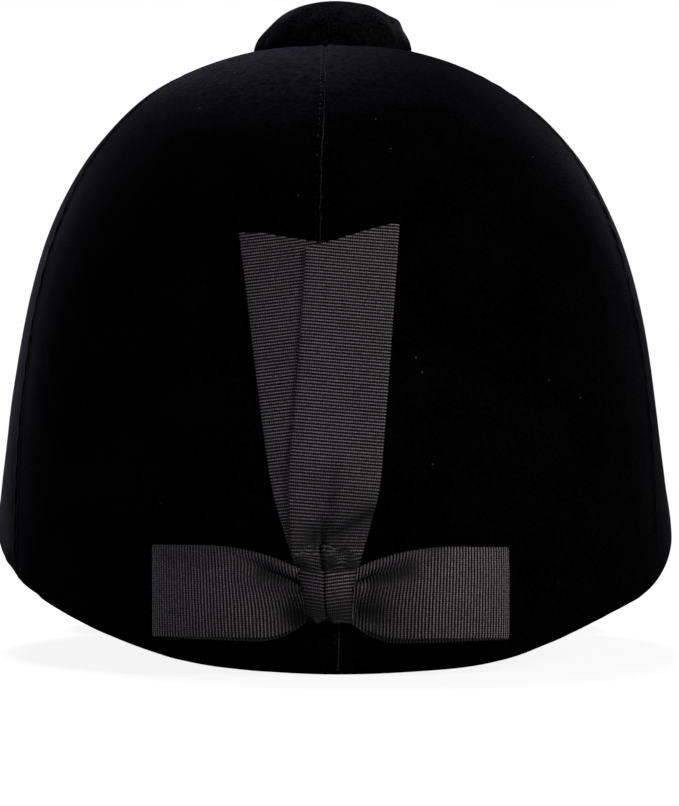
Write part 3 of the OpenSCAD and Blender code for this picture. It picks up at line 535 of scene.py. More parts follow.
def gore(name, start, end, count, wave):
    """A gore of velvet between two seams, with puckers along them and lumps in its roll at the rim."""
    k = np.linspace(0, 1, count)
    k = (1 - np.cos(math.pi * k)) / 2 * 0.75 + k * 0.25
    s, up, off = s_rows[:, None], up_rows[:, None], off_rows[:, None]
    t = lerp(start(s, up), end(s, up), k[None])
    base = on_crown(t, s, up, off)
    x, y, z = base[..., 0], base[..., 1], base[..., 2]
    n = normal_on(t, s, np.maximum(up, 0.0))
    arc, down = run_of(base, 1), run_of(base[:, count // 2])[:, None]
    to_seam = np.minimum(arc, arc[:, -1:] - arc)
    depth = 0.16 * noise(base, 34, 3) + 0.10 * noise(base, 12, 5)
    depth += -0.5 * np.exp(-((to_seam / 0.6) ** 2)) + 0.20 * bump_at(to_seam, 1.3, 0.8)
    pucker = np.sin(2 * math.pi * (down / 6.3 + 0.35 * noise(base, 17, 9)) + wave)
    depth += 0.17 * pucker * np.exp(-((to_seam / 5.5) ** 1.5)) * ease(s, 0.15, 0.4)
    low = 1 - ease(up + (1 - s) * 200, 1.0, 16.0)
    lumps = noise(base * [1, 1, 0.4], 11, 21) + 0.6 * noise(base * [1, 1, 0.4], 4.6, 23)
    side = ease(np.abs(x), 62, 84) * (y < PLACE[1] + 20)
    depth = np.maximum(depth + low * lumps * (0.22 + 0.30 * side), 0.47 * low - 0.55)
    outward = np.where(off > 2.3, -0.4, 1.0)
    p = base + n * (depth * outward + 0.85 * bump_at(x, -55, 17) * bump_at(z, 167, 13))[..., None]
    back = low * ease(PLACE[1] + 30 - y, 0, 40)
    ragged = low * (0.16 + 0.42 * side) * noise(base * [1, 1, 0.2], 7.5, 31) * (up < 6)
    p[..., 0] += back * 0.8 * bump_at(x, 94, 11)
    p[..., 2] -= back * (1.9 * bump_at(x, 90, 10) + 0.9 * bump_at(x, -42, 18) + 1.3 * bump_at(x, 42, 18))
    p[..., 2] += np.minimum(ragged, 0.0)
    uv = vec(arc - arc[:, -1:] / 2, down)
    ob = piece(name, p, grid_faces(*t.shape), BLACK_VELVET, "velvet", uv, middle=MIDDLE)


back_seam = lambda s, u: -90 - seam_wander(s, u)
right_seam = lambda s, u: -seam_angle(s, u)
left_seam = lambda s, u: 180 + seam_angle(s, u)
front_seam = lambda s, u: 90 + 0 * s
gore("back_right_velvet", back_seam, right_seam, 84, 0.0)
gore("back_left_velvet", lambda s, u: 360 + back_seam(s, u), left_seam, 84, 1.4)
gore("front_right_velvet", right_seam, front_seam, 110, 2.5)
gore("front_left_velvet", left_seam, front_seam, 110, 4.1)


def capsules(name, mids, ways, ups, length, radius, material, body="cap"):
    """Small thread stitches: rounded rods at points, lying along their ways."""
    mids, ways, ups = np.broadcast_arrays(np.asarray(mids, float), unit(np.asarray(ways)), unit(ups))
    side = unit(np.cross(ways, ups))
    ups = np.cross(side, ways)
    sides = 6
    a = np.arange(sides) * 2 * math.pi / sides
    ring = np.cos(a)[None, :, None] * side[:, None] + np.sin(a)[None, :, None] * ups[:, None]
    rings = [(-0.5, 0.35), (-0.32, 0.95), (0.0, 1.0), (0.32, 0.95), (0.5, 0.35)]
    pts = []
    for along, r in rings:
        dip = -1.1 * radius * (2 * along) ** 2
        pts.append(mids[:, None] + ways[:, None] * along * length + ring * radius * r + ups[:, None] * dip)
    pts = np.stack(pts, 1).reshape(len(mids), -1, 3)
    f = grid_faces(len(rings), sides, True)
    faces = (f[None] + (np.arange(len(mids)) * pts.shape[1])[:, None, None]).reshape(-1, 4)
    piece(name, pts, faces, material, body=body)


def seam_stitches():
    """Stitches that run beside the centre back seam from near the button to the rim."""
    s, up = rows_down(0.12, 400, np.linspace(CHANNEL_H, 2.5, 120))
    t = back_seam(s, up)
    line, n = on_crown(t, s, up, 0), normal_on(t, s, up)
    way = unit(np.gradient(line, axis=0))
    line = line + np.cross(n, way) * -1.2
    arc = run_of(line)
    at = np.arange(2, arc[-1] - 1, 2.4)
    pick = lambda v: np.stack([np.interp(at, arc, v[:, i]) for i in range(3)], -1)
    capsules("back_seam_stitches", pick(line) + pick(n) * 0.10, pick(way), pick(n), 1.5, 0.2, THREAD)


def seam_line():
    """The edge of the velvet that stands along the centre back seam: a thin ridge, coloured paler than the velvet as
    painted sheen where it catches the light.
    """
    s, up = rows_down(0.1, 700, np.linspace(CHANNEL_H, 1.0, 71)[1:])
    t = back_seam(s, up)
    n = normal_on(t, s, up)
    mid = on_crown(t, s, up, 0) - n * 0.12
    arc = run_of(mid)
    side = unit(np.cross(n, np.gradient(mid, axis=0)))
    mid = mid + side * (0.22 * noise(mid, 2.6, 81))[:, None]
    thick = 0.08 + 0.15 * np.abs(np.sin(math.pi * arc / 1.7))
    a = (np.arange(6) * math.pi / 3)[None, :, None]
    pts = mid[:, None] + (np.cos(a) * side[:, None] + np.sin(a) * n[:, None]) * thick[:, None, None]
    piece("back_seam_sheen_ridge", pts, grid_faces(len(s), 6, True), SEAM_SHEEN)


seam_stitches()
seam_line()


# ---- liner, lining and padding
def ring_layer(name, outer, inner, cols, material, slot, ripple=None):
    """A smooth closed layer of the crown between lists of rows (share, height, depth)."""
    t = around(cols)
    s, up, off = np.array([outer, inner], float).transpose(2, 0, 1)[..., None]
    front, rear = on_crown(t, s, up, off)
    if ripple is not None:
        rear = rear - normal_on(t, s[1], np.maximum(up[1], 0)) * ripple(t, s[1], up[1])[..., None]
    uv = vec(np.radians(t) * 110, run_of(front[:, 0])[:, None])
    return slab(name, front, rear, material, slot, uv, True)


def layer_rows(count, over, off, ups, last=0.0):
    """Rows of a layer: so many over the channel at one depth, then at these heights at another."""
    rows = [[s, CHANNEL_H, over] for s in np.linspace(FIRST_SHARE, 1.0, count)] + [[1, u, off] for u in ups]
    rows[-1][2] += last
    return rows


LINER_UPS, LINING_UPS = (27, 24, 20, 16, 12, 10, 9.3, 9.0), (24, 20, 16, 12, 9)
ring_layer("liner", layer_rows(34, LINER_OFF, CHANNEL_IN, LINER_UPS, 0.7),
           layer_rows(34, LINER_IN, LINER_IN, LINER_UPS, -0.7), 160, EPS, "liner_foam")


def quilt(t, s, up):
    """The lining is sewn in channels that run up the crown."""
    free = ease(s, 0.42, 0.5) * ease(up + (1 - s) * 60, 37, 40)
    return free * 0.5 * np.abs(np.sin(np.radians(t) * 12)) ** 0.5


lining = ring_layer("lining", layer_rows(60, LINING_OFF, LINING_OFF, LINING_UPS),
                    layer_rows(60, LINING_IN, LINING_IN, LINING_UPS), 288, LINING_CLOTH, "lining_cloth", quilt)

foam_ups = np.linspace(FOAM_HIGH, FOAM_LOW, 9)
foam = ring_layer("headband_foam", [[1, u, FOAM_OFF] for u in foam_ups],
                  [[1, u, FOAM_IN - 0.5 * (2 * abs(i / 8 - 0.5)) ** 4] for i, u in enumerate(foam_ups)],
                  160, SOFT_FOAM, "soft_foam")


def coords_of(mesh):
    co = np.empty(len(mesh.vertices) * 3)
    mesh.vertices.foreach_get("co", co)
    return co.reshape(-1, 3)


def inflate(name, pts, faces, material, pins, cap, uv, pressure):
    """A padded skin, swelled by Cloth with air pressure inside and its seams pinned.

    The simulation is applied, and no point moves further than cap, in mm.
    """
    ob = piece(name, pts, faces, material, None, uv, None)
    start = coords_of(ob.data)
    frames, stiff = 20, 15.0
    group = ob.vertex_groups.new(name="Pins")
    for i in np.nonzero(pins > 0)[0]:
        group.add([int(i)], float(pins[i]), "REPLACE")
    mod = ob.modifiers.new("Cloth", "CLOTH")
    st = mod.settings
    st.quality, st.mass, st.time_scale = 6, 0.3, 1.0
    st.tension_stiffness = st.compression_stiffness = stiff
    st.shear_stiffness, st.bending_stiffness = stiff / 3, 0.5
    st.use_pressure, st.uniform_pressure_force = True, pressure
    st.effector_weights.gravity = 0
    st.vertex_group_mass = "Pins"
    mod.point_cache.frame_start, mod.point_cache.frame_end = 1, frames
    for f in range(1, frames + 1):
        scene.frame_set(f)
    done = bpy.data.meshes.new_from_object(ob.evaluated_get(bpy.context.evaluated_depsgraph_get()))
    move = coords_of(done) - start
    move *= np.minimum(1, cap * MM / np.maximum(np.linalg.norm(move, axis=1, keepdims=True), 1e-9))
    move[~np.isfinite(move).all(1)] = 0
    ob.modifiers.remove(mod)
    ob.vertex_groups.clear()
    ob.data.vertices.foreach_set("co", (start + move).ravel())
    ob.data.update()
    bpy.data.meshes.remove(done)
    scene.frame_set(1)
    print(f"{name}: swelled by {np.linalg.norm(move, axis=1).max() * 1000:.2f} mm")
    sub = ob.modifiers.new("Subdivision", "SUBSURF")
    sub.levels = sub.render_levels = 1
    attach(ob, "cap")
    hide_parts(name)
    return ob


def headband_cover():
    """A leather band sewn top and bottom round its foam, with seams at the centre back and front."""
    inside = np.linspace(FOAM_HIGH, FOAM_LOW, 13)[1:-1]
    rows = [(FOAM_HIGH + 0.5, FOAM_OFF + 0.1), (FOAM_HIGH + 0.9, FOAM_OFF + 1.2),
            (FOAM_HIGH + 0.9, FOAM_IN - 1.4), (FOAM_HIGH + 0.5, FOAM_IN + 0.1)]
    rows += [(u, FOAM_IN + 0.55 + 0.25 * math.sin(math.pi * i / 12)) for i, u in enumerate(inside, 1)]
    rows += [(FOAM_LOW - 0.4, FOAM_IN + 0.1), (FOAM_LOW - 0.8, FOAM_IN - 1.4),
             (FOAM_LOW - 0.8, FOAM_OFF + 1.2), (FOAM_LOW - 0.4, FOAM_OFF + 0.1)]
    rows += [(u, FOAM_OFF + 0.02) for u in np.linspace(FOAM_LOW + 2, FOAM_HIGH - 2, 6)]
    up, off = np.array(rows).T[..., None]
    m, cols = len(rows), 240
    t = around(cols)
    pins = np.zeros((m, cols))
    pins[:4] = pins[15:] = 1
    pins[:, [0, cols // 2]] = 1
    grain = vec(np.radians(t) * 90, np.arange(m)[:, None] * 2.2)
    faces = grid_faces(m + 1, cols, True) % (m * cols)
    ob = inflate("headband_cover", on_crown(t, 1, up, off), faces, LEATHER,
                 pins.ravel(), 0.9, grain, 4.0)


def band_stitches(name, up, off):
    t = np.arange(-90, 270, 2.25)
    mids = on_crown(t, 1, up, off)
    ways = np.roll(mids, -1, 0) - np.roll(mids, 1, 0)
    ups = -normal_on(t, 1, up)
    capsules(name, mids + unit(ups) * 0.12, ways, ups, 2.6, 0.24, PALE_THREAD)


def crown_pad():
    """A round quilted pad, sewn in eight wedges."""
    cols, rings = 96, 22
    t = around(cols)
    k = np.linspace(0, 1, rings)[:, None]
    s = lerp(0.006, lerp(FIRST_SHARE, 1, 0.3), k)
    wedge = 0.62 + 0.38 * np.minimum(1, np.abs(np.sin(np.radians(t) * 4)) * 2.2) ** 0.6
    top = on_crown(t, s, CHANNEL_H, LINING_IN + 0.35)
    low = on_crown(t, s, CHANNEL_H, LINING_IN + 0.85 + 2.6 * (1 - k**3) ** 0.5 * wedge)
    pts = np.concatenate([top.reshape(-1, 3), low.reshape(-1, 3), top[0].mean(0)[None], low[0].mean(0)[None]])
    n = rings * cols
    j = np.arange(cols)
    kk = (j + 1) % cols
    quads = closed_faces(rings, cols, True)
    inner_wall = (quads[:, 0] < cols) & (quads[:, 1] < cols) & (quads[:, 2] >= n) & (quads[:, 2] < n + cols)
    quads = quads[~inner_wall]
    middles = [np.stack([j, kk, kk * 0 + 2 * n], -1), np.stack([kk + n, j + n, j * 0 + 2 * n + 1], -1)]
    faces = np.concatenate([quads[:, [0, 1, 2]], quads[:, [0, 2, 3]], *middles])
    rim = np.zeros((rings, cols))
    rim[-1] = 1
    rim[:, ::12] = 0.85
    rim[:4] = 1
    pins = np.concatenate([np.ones(n), rim.ravel(), [1, 1]])
    inflate("crown_pad", pts, faces, PAD_CLOTH, pins, 2.2, pts[:, :2], 6.0)


headband_cover()
band_stitches("headband_top_stitches", FOAM_HIGH - 1.6, FOAM_IN + 0.62)
band_stitches("headband_foot_stitches", FOAM_LOW + 1.6, FOAM_IN + 0.62)
crown_pad()


# ---- covered button
def button():
    """Velvet gathered over a domed core, with soft hollows above and small pleats round its foot."""
    r, h, base = 23.8, 14.9, -2.2
    cols, rows = 176, 44
    th = circle(cols)[None]
    a = np.radians(np.linspace(-24, 90, rows))[:, None]
    rad = np.where(a < 0, r * np.cos(a * 1.6), r * (1 - np.minimum(np.abs(np.sin(a)), 1) ** 1.7) ** 0.47)
    z = np.where(a < 0, base + h * 0.5 * np.sin(a), base + h * np.sin(a))
    x, y = rad * np.cos(th), rad * np.sin(th)
    p, n = vec(x, y, z), unit(vec(x, y, (r / h) ** 2 * (z - base)))
    up = np.clip((z - base) / h, -0.3, 1)
    near = np.exp(-((np.maximum(up, 0) / 0.30) ** 1.3))
    folds = 0
    for i, (k, ph, w) in enumerate([(19, 0.3, 0.45), (27, 1.9, 0.3), (11, 4.0, 0.4), (37, 2.2, 0.16)]):
        folds = folds + w * np.sin(k * th + ph + 1.2 * np.sin(3 * th + i))
    d = -0.30 * near * (1 - folds * 0.9)
    soft = noise(p + 200, 11, 41) * 0.34 + noise(p + 90, 5, 43) * 0.13
    d = d + soft * (1 - 0.5 * ease(up, 0.85, 1.0))
    for high, mid, wide, level, tall in ((0.55, 0.28, 0.22, 0.55, 0.2), (-0.45, 0.05, 0.35, 0.85, 0.16),
                                         (-0.35, math.pi - 0.2, 0.5, 0.5, 0.25)):
        d = d + high * bump_at(th, mid, wide) * bump_at(up, level, tall)
    beside = bump_at(np.sin(th / 2), 0, 0.16)
    d = d + beside * (0.9 * bump_at(up, 0.6, 0.1) - 0.5 * bump_at(up, 0.33, 0.12))
    pleats = sum(high * bump_at(th, mid, wide) for high, mid, wide in (
        (1.2, 4.94, 0.14), (1.2, 4.45, 0.15), (0.7, 5.5, 0.13), (0.6, 3.9, 0.13),
        (-0.9, 4.70, 0.06), (-0.3, 5.25, 0.05), (-0.3, 4.1, 0.06)))
    d = np.maximum(d + (1 - ease(up, 0.45, 0.8)) * pleats, -0.45)
    p = p + n * d[..., None]
    p[..., 0] += 0.8 * np.maximum(up, 0)
    p[-1] = p[-1].mean(0)
    p = np.concatenate([(p[0] * [0.62, 0.62, 1] + [0, 0, 1.5])[None], p])
    way, side = np.gradient(p, axis=0), np.roll(p, -1, 1) - np.roll(p, 1, 1)
    deep = unit(np.cross(side, way) + 1e-9)
    deep[-1] = [0, 0, 1]
    deep = deep * np.sign((deep * (p - [0, 0, base])).sum(-1, keepdims=True).mean())
    uv = vec(th * 20, np.linspace(0, 40, rows + 1)[:, None])
    ob = slab("button_cover", p + PLACE, p - deep * 0.55 + PLACE, BUTTON_VELVET_PAINTED_LIGHT, "velvet", uv, True)


button()

# ---- ribbon bow
KNOT_X, KNOT_TOP, KNOT_FOOT, KNOT_H, KNOT_T = -3.7, 19.9, 11.8, 20.5, 8.0
BOW_Z, RIBBON_W, RIBBON_T, RIB_RISE = 21.5, 25.0, 0.7, 0.17
KNOT_Z0 = BOW_Z + 2.4 - KNOT_H / 2
TAIL_FOOT, TAIL_TOP, TAIL_W = KNOT_Z0 + KNOT_H - 2.7, 118.5, RIBBON_W - 0.5
STEPS = 7


def painted_ribbon_shade(p):
    """Painted shade on the ribbon: how much of its tone it keeps at points of the bow. It is darker down in the
    folds and under the knot, on the left loop and tail, inside the right loop and over the tails, most near their
    foot; the right loop's outer end is a little paler, a painted highlight.
    """
    x, z = p[..., 0], p[..., 2]
    k = 1.0
    # Painted shade along the valleys of both loops and in a band across the tails' foot.
    for loss, x0, z0, x1, z1, w0, w1 in ((0.84, -21.0, 28.2, -11.0, 23.4, 2.9, 1.4),
                                         (0.86, 18.5, 28.6, 8.5, 25.0, 3.2, 1.7),
                                         (0.78, -1.6, 38.4, 7.8, 43.6, 2.6, 3.4)):
        a, b = x1 - x0, z1 - z0
        q = np.clip(((x - x0) * a + (z - z0) * b) / (a**2 + b**2), 0, 1)
        k = k * (1 - loss * bump_at(np.hypot(x - lerp(x0, x1, q), z - lerp(z0, z1, q)), 0, lerp(w0, w1, q)))
    # Painted shade in the loops' lower inner corners and in a patch at the left of the tails' foot.
    for loss, x0, wide, z0, tall in ((0.88, -12.2, 6.2, 16.4, 4.2), (0.92, 8.0, 5.6, 17.4, 4.2),
                                     (0.86, -8.0, 3.0, 37.4, 3.2)):
        k = k * (1 - loss * bump_at(x, x0, wide) * bump_at(z, z0, tall))
    # Painted shade on the left loop and inside the right loop, whose outer end gets a painted highlight.
    k = k * lerp(1.0, 0.63, ease(-x, 8, 14) * (z < 36))
    k = k * lerp(1.0, lerp(0.72, 1.08, ease(x, 12, 33)), ease(x, 6, 9) * (z < 36))
    # Painted shade down a fold by the knot, on the left tail, at the tails' foot and over the tails.
    k = k * (1 - 0.70 * bump_at(x, -5.2, 0.8) * ease(z, 29, 32) * (1 - ease(z, 42, 46)))
    k = k * lerp(1.0, 0.84, ease(-x, 8, 14) * (z > 40))
    k = k * (1 - lerp(0.08, 0.30, ease(-x, 3, 5)) * ease(z, 29, 31) * (1 - ease(z, 38, 43)))
    return k * (1 - (0.17 + 0.25 * (1 - ease(z, 36, 66))) * (z > 34) * (np.abs(x + 2) < 30))


def set_painted_shade(ob, shade):
    # Painted shade is kept in the point attribute fold, which the ribbon's material reads.
    layer = ob.data.attributes.new("fold", "FLOAT", "POINT")
    layer.data.foreach_set("value", np.asarray(shade, np.float32).ravel())


def rib_wave(phase):
    return np.abs(np.sin(math.pi * phase / RIB)) ** 0.8


def ribbed(p, n, phase, s, edge):
    """Both faces of ribbed ribbon, from its middle face. phase is the length along it, s runs from -1 to 1."""
    half = (RIBBON_T / 2 - RIB_RISE + RIB_RISE * rib_wave(phase)) * (1 - edge * ease(np.abs(s), 0.93, 1.0))
    return p + n * half[..., None], p - n * half[..., None]


def back_normals(p):
    """Normals of a grid of points on the back of the cap, outward."""
    n = unit(np.cross(np.gradient(p, axis=1), np.gradient(p, axis=0)))
    return -n if n[..., 1].mean() > 0 else n


def spline(points, count):
    """Centripetal smooth line through points, evenly spaced along its length."""
    p = np.asarray(points, float)
    p = np.concatenate([[2 * p[0] - p[1]], p, [2 * p[-1] - p[-2]]])
    out = []
    for i in range(1, len(p) - 2):
        k = np.linspace(0, 1, 24, endpoint=i == len(p) - 3)[:, None]
        a, b, c, d = p[i - 1 : i + 3]
        out.append(0.5 * (2 * b + (c - a) * k + (2 * a - 5 * b + 4 * c - d) * k**2 + (3 * b - a - 3 * c + d) * k**3))
    out = np.concatenate(out)
    arc = run_of(out)
    at = np.linspace(0, arc[-1], count)
    return np.stack([np.interp(at, arc, out[:, i]) for i in range(out.shape[1])], -1), at


def length_along(p):
    """Length down the middle of a strip of points."""
    return run_of(p[:, p.shape[1] // 2])[:, None]


def knot_width(k):
    return lerp(KNOT_FOOT, KNOT_TOP, k**1.6)


def knot_mid(k):
    return KNOT_X + 0.6 * (1 - k)


def knot_side(side, z):
    k = np.clip((z - KNOT_Z0) / KNOT_H, 0, 1)
    return side * knot_mid(k) + knot_width(k) / 2


def loop(name, side, reach, tilt, back_drop, seed):
    """A loop of ribbon, out from the knot and back to it underneath, gathered where the knot holds it."""
    v = np.linspace(-0.5, 0.5, 48)[None]
    start = float(knot_side(side, BOW_Z + 1)) - 1.0
    run = reach - start
    path = [[0, 4.6], [0.12, 6.0], [0.3, 7.5], [0.52, 8.2], [0.74, 8.0], [0.9, 7.2], [0.975, 6.1], [0.996, 5.0],
            [1, 4.2], [0.996, 3.4], [0.975, 2.6], [0.88, 1.8], [0.7, 1.4], [0.45, 1.3], [0.2, 1.3], [0, 1.3]]
    line, at = spline([[start + run * q[0], q[1] - 0.35] for q in path], int((2 * run + 9) / RIB * STEPS))
    x, off = line[:, :1], line[:, 1:]
    u = (x - start) / run
    outer = (at < at[np.argmax(x[:, 0])])[:, None]
    top = 12.35 - 5.9 * np.clip(1 - u / 0.62, 0, 1) ** 2.1
    low = 12.35 - 6.6 * np.clip(1 - u / 0.36, 0, 1) ** 2.2
    upright = ease(v, -0.5, 0.5)
    z = BOW_Z + tilt * u + 2 * v * lerp(low, top, upright)
    first = knot_side(side, BOW_Z + 2 * v * lerp(low[:1], top[:1], upright)) - 1.2
    xx = first + (reach - first) * u
    gather = np.clip(1 - u / 0.5, 0, 1) ** 1.15 * ease(u, -0.03, 0.07)
    valley, ridge = 0.20 + 0.46 * u, 0.08 + 0.15 * u
    fold = 1.0 * bump_at(v, 0.43, 0.07) - 3.8 * bump_at(v, valley, 0.05 + 0.11 * u) + 2.1 * bump_at(v, ridge, 0.08)
    fold = fold - 5.6 * ease(ridge - v, 0.02, 0.34) + 0.5 * bump_at(v, -0.2 + 0.3 * u, 0.05)
    q = vec(xx, z, seed)
    soft = 0.30 * noise(q, 13, seed) + 0.10 * noise(q, 5, seed + 2)
    belly = 0.5 * np.sin(np.pi * np.clip(u, 0, 1)) * (1 - (2 * v) ** 2)
    d = np.where(outer, gather * fold + belly + soft, gather * 0.4 * np.sin(v * 9) - 0.25 * belly)
    z = z - np.where(outer, 0.0, back_drop * (1 - 0.75 * u)) + 0.1 * noise(vec(x, off, 0), 9, seed)
    p = on_back(side * xx, z, np.maximum(off + d, 0.45))
    phase = length_along(p) + 0 * v
    front, rear = ribbed(p, back_normals(p), phase, 2 * v, 0.55)
    ob = slab(name, front, rear, RIBBON, "ribbon", vec(v * RIBBON_W, phase))
    # Painted shade: the loop's rear layer, under its front, keeps less of its tone.
    under = np.where(outer, 1, 0.4) + 0 * v
    set_painted_shade(ob, painted_ribbon_shade(np.concatenate([front, rear])) * np.concatenate([under, under]))


loop("bow_left_loop", -1, 48.6, 0.1, 0.7, 51)
loop("bow_right_loop", 1, 43.6, -0.6, 1.1, 57)


def knot():
    """The middle wrap: two pleats, left over right, and above them the crushed and stitched foot of the tails."""
    cols = 72
    rows = int((KNOT_H + 1.2) / RIB * STEPS)
    k = np.linspace(0, 1, rows)[:, None]
    s = np.linspace(-1, 1, cols)[None]
    w, mid = knot_width(k), knot_mid(k)
    q = vec(mid + w / 2 * s, KNOT_Z0 + KNOT_H * k, 0)
    z = q[..., 1]
    split_at = -0.20 + 0.05 * (1 - k) - 0.03 * np.sin(k * 7)
    swell = 0.42 + 0.58 * np.sin(math.pi / 2 * np.clip(k / 0.5, 0, 1)) ** 1.2
    off = (KNOT_T - 2.6) * np.maximum(0, 1 - np.abs(s) ** 3.2) ** 0.55 * swell + 2.1 + 0.5 * swell
    left = 1 - ease(s - split_at, -0.015, 0.03)
    off = off + left * (0.55 - 0.35 * (s - split_at)) - 1.1 * bump_at(s, split_at + 0.06, 0.05)
    off = off + 0.3 * bump_at(s, 0.45, 0.3)
    band = ease(k, 0.64, 0.70)
    low = 4.3 + 0.7 * (1 - s * s) - 1.4 * bump_at(s, split_at + 0.02, 0.06) - 2.3 * ease(k, 0.74, 1.0)
    crumple = 0.75 * noise(q, 3.1, 61) + 0.45 * noise(q, 1.7, 62)
    crumple = crumple + 0.5 * np.sin(z * 2.4 + q[..., 0] * 0.5 * np.sign(s))
    off = lerp(off, low + 0.5 * crumple, band) + 0.16 * noise(q, 4, 63)
    off = off + 0.35 * bump_at(k, 0.61, 0.035) * (1 - s * s)
    slope = np.where(s < split_at, 1.15, -0.85) * (s - split_at) * w / 2 * 0.18
    phase = k * KNOT_H + slope + band * (0.5 * noise(q, 3, 67) + 0.25 * noise(q, 1.6, 68))
    ragged = ease(k, 0.85, 1.0) * 0.9 * noise(q, 4.2, 65)
    foot = 0.8 + 1.2 * ease(-s, 0.35, 1.0) - 1.1 * ease(s, 0.1, 1) + 0.5 * bump_at(s, 0.02, 0.12)
    p = on_back(q[..., 0], z + bump_at(k, 0, 0.1) * foot + ragged, off)
    n = back_normals(p)
    front = p + n * (RIB_RISE * rib_wave(phase) * (1 - 0.4 * band))[..., None]
    rear = on_back(mid + (w / 2 - 0.3) * s, z, 0.5)
    ob = slab("bow_knot", front, rear, RIBBON, "ribbon", vec(w / 2 * s * 1.25, phase))
    # Painted shade: the wrap darker towards its foot, on its left pleat, along the crease and at its edges, the
    # crushed band mottled dark, and the rear face darker.
    wrap = lerp(0.16, 0.82, ease(k, 0.1, 0.56)) * (1 - 0.3 * left) * (1 - 0.5 * bump_at(s, split_at + 0.06, 0.05))
    wrap = wrap * (1 - 0.45 * ease(np.abs(s), 0.75, 1))
    crushed_band_shade = np.clip(0.31 + 0.5 * noise(q, 2.2, 71) + 0.2 * bump_at(k, 0.93, 0.05), 0.06, 1)
    shade = lerp(wrap, crushed_band_shade, band) * (1 - 0.5 * bump_at(k, 0.67, 0.03))
    set_painted_shade(ob, np.concatenate([shade, shade * 0 + 0.5]))
    place, count = np.array([-0.05, 0.04, 0.12, 0.2, 0.3, 0.42, 0.5, 0.62]), np.arange(8)
    at = ((0.94 + 0.04 * np.sin(count * 2.1)) * (rows - 1)).astype(int), ((place + 1) / 2 * (cols - 1)).astype(int)
    ways = vec(1, 0, 0.35 + 0.25 * np.sin(count * 3.3))
    capsules("knot_stitches", front[at] + n[at] * 0.12, ways, n[at], 1.2, 0.15, PALE_THREAD)


knot()


def tail(name, top_x, cut, bend, off, seed):
    """A tail of ribbon from the knot up the crown, with a slanting cut at its top."""
    s = np.linspace(0, 1, 34)[None]
    foot = np.array([KNOT_X, TAIL_FOOT])
    top = np.array([top_x + TAIL_W / 2, TAIL_TOP])
    way = unit(top - foot)
    full = np.linalg.norm(top - foot)
    cross = np.array([way[1], -way[0]])
    l = np.linspace(-0.6, full + 3.6, int((full + 4.2) / RIB * STEPS))[:, None]
    w = lerp(18.6, TAIL_W, 1 - np.clip(1 - l / 25, 0, 1) ** 1.5)
    stop = full + cut * (s - 0.5) - cross[1] * (s - 0.5) * TAIL_W / way[1] + 0.08 * np.sin(s * 40 + seed)
    l2 = np.minimum(l, stop + np.interp(s, (0, 0.25, 0.5, 0.75, 1), bend))
    x = foot[0] + way[0] * l2 + cross[0] * (s - 0.5) * w
    z = foot[1] + way[1] * l2 + cross[1] * (s - 0.5) * w * ease(l, 0, 14)
    q = vec(x, z, seed * 10)
    pleat = -1.5 * bump_at(s, 0.43, 0.035) * (1 - ease(l2, 6, 12))
    pleat = pleat + 0.7 * (1 - ease(s, 0.37, 0.42)) * (1 - ease(l2, 4, 12))
    slant = ease(l2 - 5.5 - 16 * (s - 0.5), -1.7, 1.7)
    pleat = pleat + 2.3 * ease(s, 0.42, 0.6) * slant * (1 - ease(l2, 14, 34)) * (off > 1.5)
    pleat = pleat - 1.7 * bump_at(s, 0.29, 0.11) * bump_at(l2, 6.0, 2.4)
    depth = off + 0.22 * noise(q, 17, seed) + 0.10 * noise(q, 7, seed + 1) + pleat
    depth = depth + 0.35 * ease(l2, full * 0.8, full) * (0.5 + (2 * s - 1) ** 2)
    x = x + 0.35 * np.sin(l2 / full * math.pi * 1.1) * (1 if seed % 2 else -1)
    p = on_back(x, z, depth)
    line = on_back(foot[0] + way[0] * l, foot[1] + way[1] * l, off)
    phase = np.interp(l2, l[:, 0], length_along(line)[:, 0])
    front, rear = ribbed(p, on_back(x, z, depth + 1) - p, phase, 2 * s - 1, 0.5)
    ob = slab(name, front, rear, RIBBON, "ribbon", vec((s - 0.5) * RIBBON_W, phase), closed=False)
    # Painted shade from the bow's folds and over the tails' foot.
    set_painted_shade(ob, painted_ribbon_shade(np.concatenate([front, rear])))
    mend(ob, 1e-6, 1e-7)


tail("bow_left_tail", -27.0, -5.0, (-1.6, -0.2, -0.2, 0, -0.2), 0.95, 70)
tail("bow_right_tail", -8.6, 6.3, (-0.3, -0.4, 0, 0.3, 0), 2.05, 73)

# ---- peak
PEAK_ARC, PEAK_REACH, PEAK_ARCH, END_DROP, END_W = 52.0, 50.0, 8.0, 6.0, 7.0
BOARD_T, PIPING_D, VELVET_T = 2.0, 3.8, 0.9
PIPING_R, PLATE_DROP = PIPING_D / 2, VELVET_T + 0.3
PEAK_TIP, ARCH_SHARE = FRONT + PEAK_REACH, 0.6
END_T = 90 - PEAK_ARC
PEAK_END = on_crown(END_T, 1, 0, 0) - PLACE + unit(normal_on(END_T, 1, 0) * [1, 1, 0]) * END_W
END_RISE = float(rim_rise(END_T)) - END_DROP - PIPING_D


def peak_root(u, up, off):
    """Where the peak meets the crown, from -1 to 1 along it, seen from the top of the crown."""
    return on_crown(90 + PEAK_ARC * u, 1, up, off) - PLACE


def peak_edge(u):
    v = np.abs(u)
    arch = PEAK_ARCH * (1 - v / ARCH_SHARE) ** 2 * (1 + 2 * v / ARCH_SHARE)
    lift = END_RISE * (np.maximum(v - ARCH_SHARE, 0) / (1 - ARCH_SHARE)) ** 1.6
    a = np.radians(90 * u)
    y = PEAK_END[1] + (PEAK_TIP - PEAK_END[1]) * np.maximum(np.cos(a), 0) ** 0.9
    return vec(-PEAK_END[0] * np.sin(a), y, PIPING_R - PLACE[2] + np.where(v < ARCH_SHARE, arch, lift))


